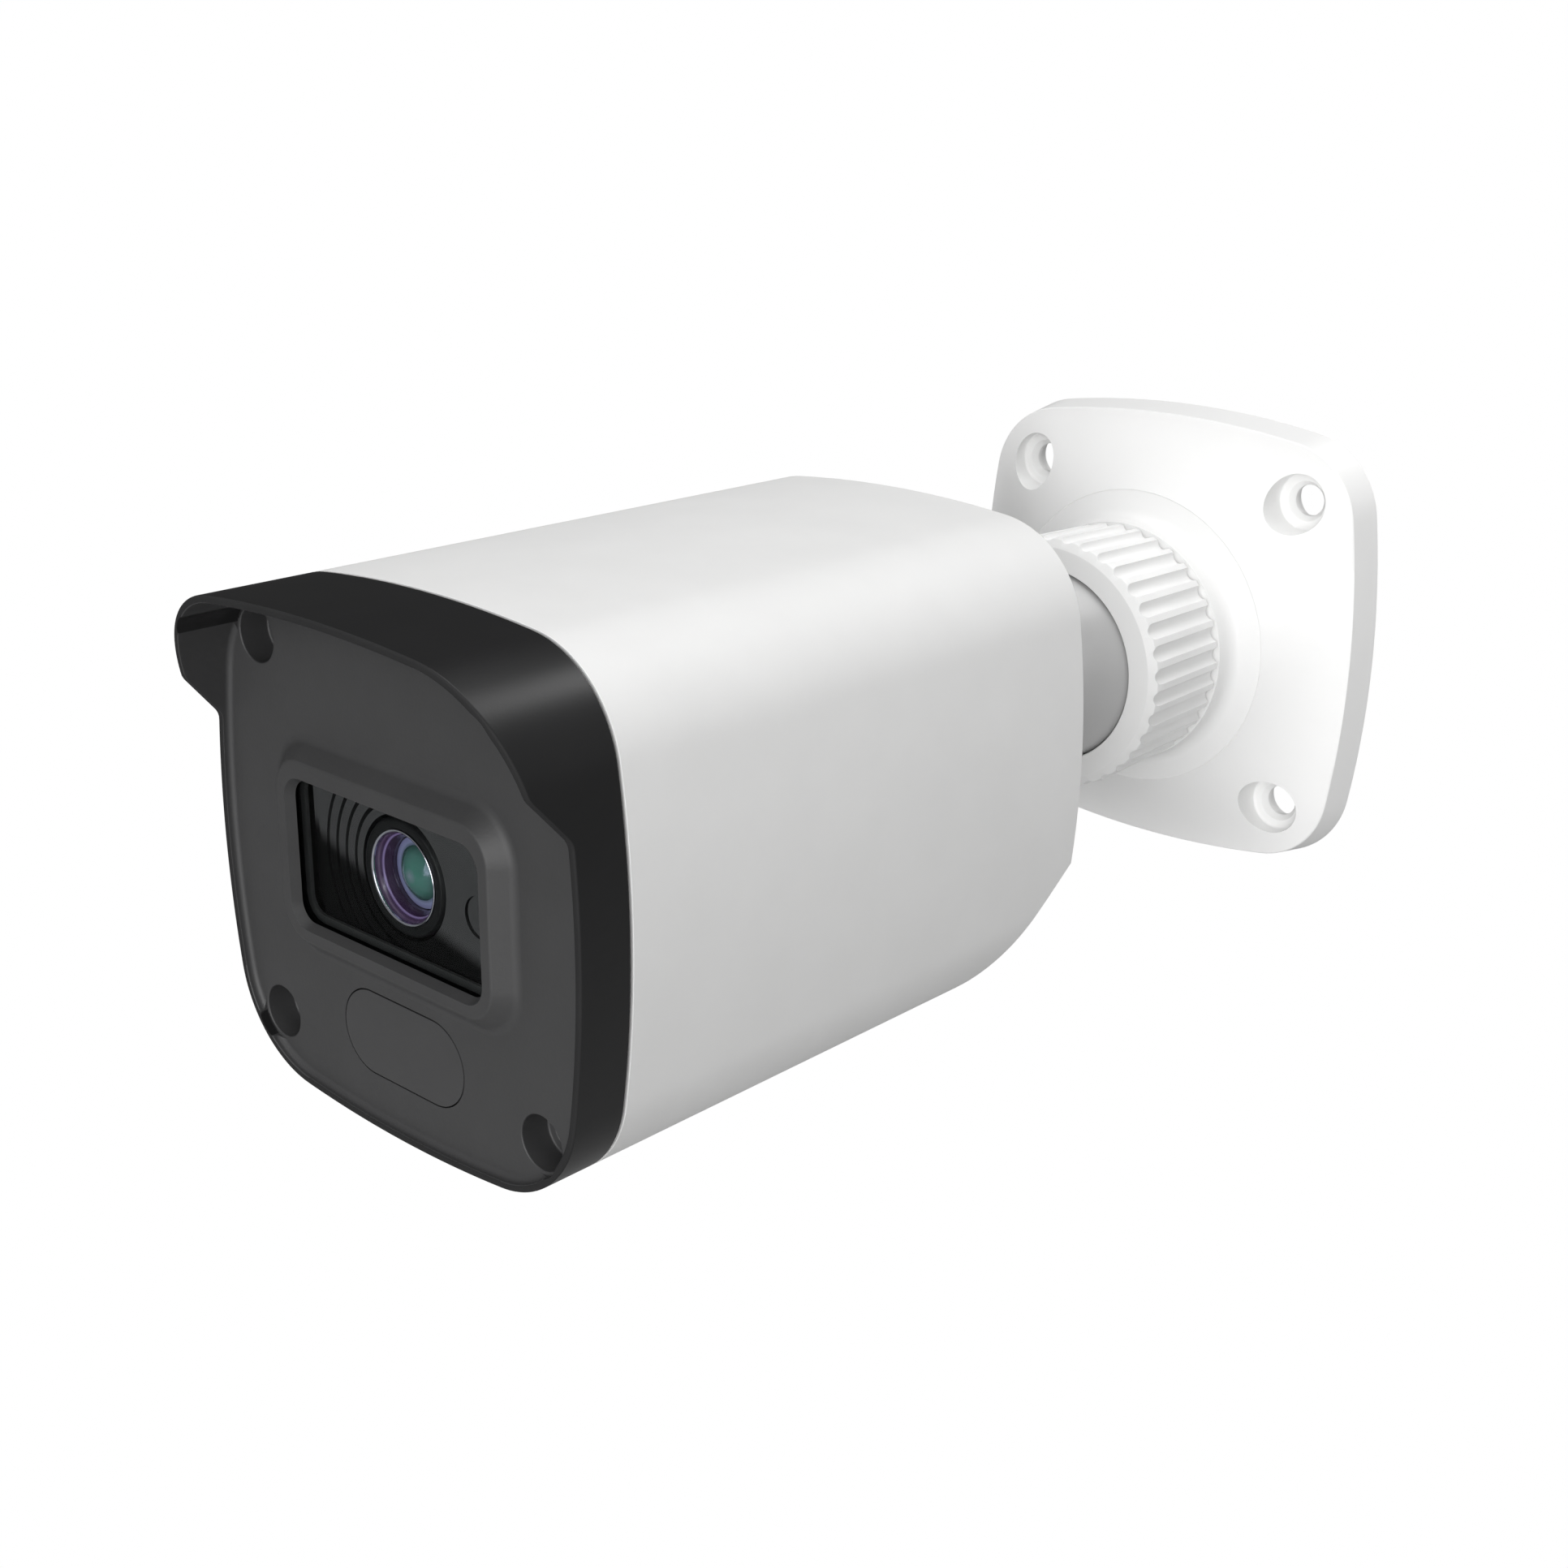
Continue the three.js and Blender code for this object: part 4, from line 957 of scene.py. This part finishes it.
def make_light_baffle():
    """The black plate round the lens, with curved grooves on its left that trap stray light."""
    front = BAFFLE_FRONT
    outline = rounded_rectangle(*BAFFLE_HALF, 3.0)
    plate = prism("baffle_plate", outline, front, front + BAFFLE_THICKNESS, RIM_Y)
    # The grooves are joined to a speck far behind the baffle, so that one cutter holds them all.
    grooves = lathe("grooves", [(0, 0), (0.1, 0), (0.1, 0.1), (0, 0.1)], 12, shift=RIM_Y + 50)
    for radius in (8.4, 10.15, 11.9, 13.65):
        groove = [
            (radius, front - 1),
            (radius, front + 0.9),
            (radius + 0.4, front + 0.9),
            (radius + 0.6, front - 1),
        ]
        add(grooves, lathe("groove", groove, 160, closed=True, shift=RIM_Y))
    right_half = [(0, -20), (40, -20), (40, 20), (0, 20)]
    carve(grooves, prism("right_half", right_half, -5, 60, RIM_Y))
    carve(plate, grooves)
    left_slot = [(-20, -20), (-15.4, -20), (-15.4, 20), (-20, 20)]
    carve(plate, prism("left_slot", left_slot, front - 1, front + 1.0, RIM_Y))
    sensor_hole = [(0, 0), (2.5, 0), (2.5, front + 0.4), (0, front + 0.4)]
    carve(plate, lathe("sensor_hole", sensor_hole, 64, shift=RIM_Y, x=13, z=-1))
    sleeve = [(LENS_BORE, front + 1), (8.6, front + 1), (8.6, 7), (LENS_BORE, 7)]
    add(plate, lathe("sleeve", sleeve, 96, closed=True, shift=RIM_Y))
    bore = [(0, 0), (LENS_BORE, 0), (LENS_BORE, 10), (0, 10)]
    carve(plate, lathe("bore", bore, 96, shift=RIM_Y))
    return finish_piece(plate, "camera_head", BAFFLE_BLACK_AND_POCKET_SHADE, ["light_baffle"])


def make_lens():
    """The lens's visible parts: barrel, bright rim, coated cone, two inner elements and a front dome."""
    barrel = softened([
        (5.65, 2.3, 0.1),
        (6.7, 2.2, 0.3),
        (7.0, 2.7, 0.3),
        (7.0, 5.3, 0),
        (5.85, 5.8, 0),
        (5.85, 16.5, 0),
        (4.6, 16.5, 0),
        (4.6, 7.0, 0),
        (5.65, 6.0, 0),
    ], 4)
    barrel = lathe("lens_barrel_turned", barrel, 96, closed=True, shift=RIM_Y)
    finish_piece(barrel, "camera_head", BLACK_METAL, ["lens_barrel"])

    rim = softened([
        (5.3, 2.25, 0.08),
        (5.6, 2.1, 0.08),
        (5.6, 3.0, 0.05),
        (5.3, 3.0, 0.05),
    ], 3)
    rim = lathe("lens_rim", rim, 128, closed=True, shift=RIM_Y)
    finish_piece(rim, "camera_head", bright_ring(), ["lens_ring"])

    cone = softened([
        (5.25, 2.5, 0),
        (5.25, 2.8, 0.1),
        (4.9, 3.3, 0.1),
        (4.75, 3.35, 0.1),
        (4.3, 4.3, 0.1),
        (4.25, 5.6, 0),
        (5.5, 5.6, 0),
        (5.5, 3.1, 0),
    ], 4)
    cone = lathe("lens_cone", cone, 128, closed=True, shift=RIM_Y)
    # Dark violet coating, with a thin bright band at 4.8 to 4.92 mm that is a painted highlight.
    violet = coated_glass_with_painted_light("violet_coating_painted_highlight", [
        (4.3, (0.030, 0.010, 0.034)),
        (4.72, (0.055, 0.022, 0.060)),
        (4.80, (0.40, 0.30, 0.46)),
        (4.92, (0.40, 0.30, 0.46)),
        (5.0, (0.07, 0.03, 0.08)),
        (5.25, (0.10, 0.06, 0.12)),
    ], 0.25)
    finish_piece(cone, "camera_head", violet, ["lens_middle_element"])

    def dome(name, radius, edge, bulge, back, material, nodes):
        profile = [(radius * i / 16, edge - bulge * (1 - (i / 16) ** 2)) for i in range(17)]
        profile += [(radius, back), (0, back)]
        made = lathe(name, profile, 96, shift=RIM_Y)
        return finish_piece(made, "camera_head", material, nodes)

    # Pale blue-lilac coating that is lighter round 3.6 mm; that lighter band is a painted highlight.
    lilac = coated_glass_with_painted_light("lilac_coating_painted_highlight", [
        (3.3, (0.20, 0.26, 0.28)),
        (3.6, (0.36, 0.42, 0.50)),
        (4.1, (0.30, 0.32, 0.42)),
    ], 0.15)
    # Green coating, light in the middle and dark at the rim: painted sheen and painted shade on the dome.
    green = coated_glass_with_painted_light("green_coating_painted_sheen", [
        (0.0, (0.30, 0.42, 0.36)),
        (1.0, (0.10, 0.34, 0.19)),
        (2.3, (0.08, 0.28, 0.16)),
        (3.1, (0.03, 0.12, 0.07)),
    ], 0.18)
    dome("lens_inner_element", 4.2, 4.7, 0.2, 6.4, lilac, ["lens_rear_element"])
    dome("lens_centre_element", 3.2, 4.5, 1.35, 4.55, green, [])
    front = clear_glass("front_element", (0.90, 0.88, 0.96), 0.35)
    dome("lens_front_dome", 5.2, 3.0, 1.3, 3.1, front, ["lens_front_element"])


# ------------------------------------------------------------------ camera, floor and light

CAMERA_PLACE = (177.635, -286.945, 87.767)
CAMERA_AZIMUTH, CAMERA_ELEVATION, CAMERA_ROLL = 42.489, 19.336, 0.661
CAMERA_LENS = 48.65

# The world lights the object evenly, but fades to a share of its strength towards the dark side,
# behind the object on the left, so that the black cover has something dark to reflect.
WORLD_STRENGTH = 0.29
DARK_SIDE = (-0.74, 0.62, 0.26)
DARK_SHARE = 0.15
FADE_START, FADE_END = 0.35, 0.9


def make_camera():
    data = bpy.data.cameras.new("camera")
    data.lens = CAMERA_LENS
    data.sensor_width = 36
    data.clip_start = 0.01
    camera = bpy.data.objects.new("camera", data)
    azimuth, elevation, roll = map(radians, (CAMERA_AZIMUTH, CAMERA_ELEVATION, CAMERA_ROLL))
    back = Vector((sin(azimuth) * cos(elevation), -cos(azimuth) * cos(elevation), sin(elevation)))
    level = Vector((0, 0, 1)).cross(back).normalized()
    upright = back.cross(level)
    right = level * cos(roll) + upright * sin(roll)
    up = upright * cos(roll) - level * sin(roll)
    turn = Matrix((right, up, back)).transposed().to_4x4()
    camera.matrix_world = Matrix.Translation(Vector(CAMERA_PLACE) * MM) @ turn
    bpy.context.scene.collection.objects.link(camera)
    bpy.context.scene.camera = camera


def white_for_camera(nodes, links, lit, strength):
    """Plain white where the camera itself sees the backdrop, the lit shader for everything else."""
    white = nodes.new("ShaderNodeEmission")
    white.inputs["Strength"].default_value = strength
    mix = nodes.new("ShaderNodeMixShader")
    links.new(nodes.new("ShaderNodeLightPath").outputs["Is Camera Ray"], mix.inputs["Fac"])
    links.new(lit, mix.inputs[1])
    links.new(white.outputs["Emission"], mix.inputs[2])
    return mix.outputs["Shader"]


def make_floor():
    half, level = 12.0, -0.45
    corners = [(x, y, level) for x, y in four_corners(half)]
    mesh = bpy.data.meshes.new("floor")
    mesh.from_pydata(corners, [], [(0, 1, 2, 3)])
    floor = bpy.data.objects.new("floor", mesh)
    bpy.context.scene.collection.objects.link(floor)
    paper = Recipe("floor_paper", (0.42, 0.42, 0.42), 0.9).vary(400, 0.01)
    lit = paper.shader.outputs["BSDF"]
    shown = white_for_camera(paper.nodes, paper.links, lit, 1.0)
    paper.links.new(shown, paper.nodes["Material Output"].inputs["Surface"])
    mesh.materials.append(paper.material)


def area_light(name, place, target, width, height, power):
    data = bpy.data.lights.new(name, "AREA")
    data.shape = "RECTANGLE"
    data.size = width
    data.size_y = height
    data.energy = power
    light = bpy.data.objects.new(name, data)
    light.location = place
    light.rotation_euler = (Vector(target) - Vector(place)).to_track_quat("-Z", "Y").to_euler()
    bpy.context.scene.collection.objects.link(light)
    return light


def make_world():
    """An even white world, dimmed towards DARK_SIDE by the angle to it."""
    world = bpy.data.worlds.new("studio")
    bpy.context.scene.world = world
    world.use_nodes = True
    nodes, links = world.node_tree.nodes, world.node_tree.links
    soft = nodes["Background"]
    soft.inputs["Color"].default_value = (1, 1, 1, 1)
    direction = nodes.new("ShaderNodeTexCoord").outputs["Generated"]
    towards = nodes.new("ShaderNodeVectorMath")
    towards.operation = "DOT_PRODUCT"
    towards.inputs[1].default_value = DARK_SIDE
    links.new(direction, towards.inputs[0])
    fade = nodes.new("ShaderNodeMapRange")
    fade.interpolation_type = "SMOOTHSTEP"
    fade.inputs["From Min"].default_value = FADE_START
    fade.inputs["From Max"].default_value = FADE_END
    fade.inputs["To Min"].default_value = WORLD_STRENGTH
    fade.inputs["To Max"].default_value = DARK_SHARE * WORLD_STRENGTH
    links.new(towards.outputs["Value"], fade.inputs["Value"])
    links.new(fade.outputs["Result"], soft.inputs["Strength"])
    shown = white_for_camera(nodes, links, soft.outputs["Background"], 1.0)
    links.new(shown, nodes["World Output"].inputs["Surface"])


def window_spot(baffle):
    """A small spot whose sharp edge crosses the light baffle on a slant; nothing else receives it."""
    radius, distance = 150, 1000
    edge_point = Vector((0.25, -3.1))
    uphill = Vector((0.253, 0.967))
    centre = edge_point + uphill * radius
    data = bpy.data.lights.new("window_spot", "SPOT")
    data.energy = 330
    data.spot_size = 2 * atan2(radius, distance)
    data.spot_blend = 0.0
    data.shadow_soft_size = 0.001
    spot = bpy.data.objects.new("window_spot", data)
    spot.location = Vector((centre.x, RIM_Y - distance, centre.y)) * MM
    spot.rotation_euler = (radians(90), 0, 0)
    bpy.context.scene.collection.objects.link(spot)
    lit = bpy.data.collections.new("behind_window")
    lit.objects.link(baffle)
    spot.light_linking.receiver_collection = lit
    spot.light_linking.blocker_collection = lit


def make_lights():
    middle = (0, -0.08, 0)
    area_light("front_softbox", (0.6, -1.38, 0.26), middle, 1.3, 1.2, 19.2)
    area_light("top_softbox", (0.1, -0.1, 1.3), middle, 1.2, 1.2, 11)
    area_light("back_softbox", (0.25, 0.85, 1.0), middle, 0.45, 0.35, 3)
    bpy.context.scene.view_settings.view_transform = "Standard"


dress_packed_nodes()
make_camera()
make_floor()
make_world()
make_lights()
make_wall_plate()
make_clamp_ring()
make_ball()
make_stem()
make_housing()
make_front_cover()
make_cover_screws()
make_infrared_window()
make_window()
make_lens()
window_spot(make_light_baffle())
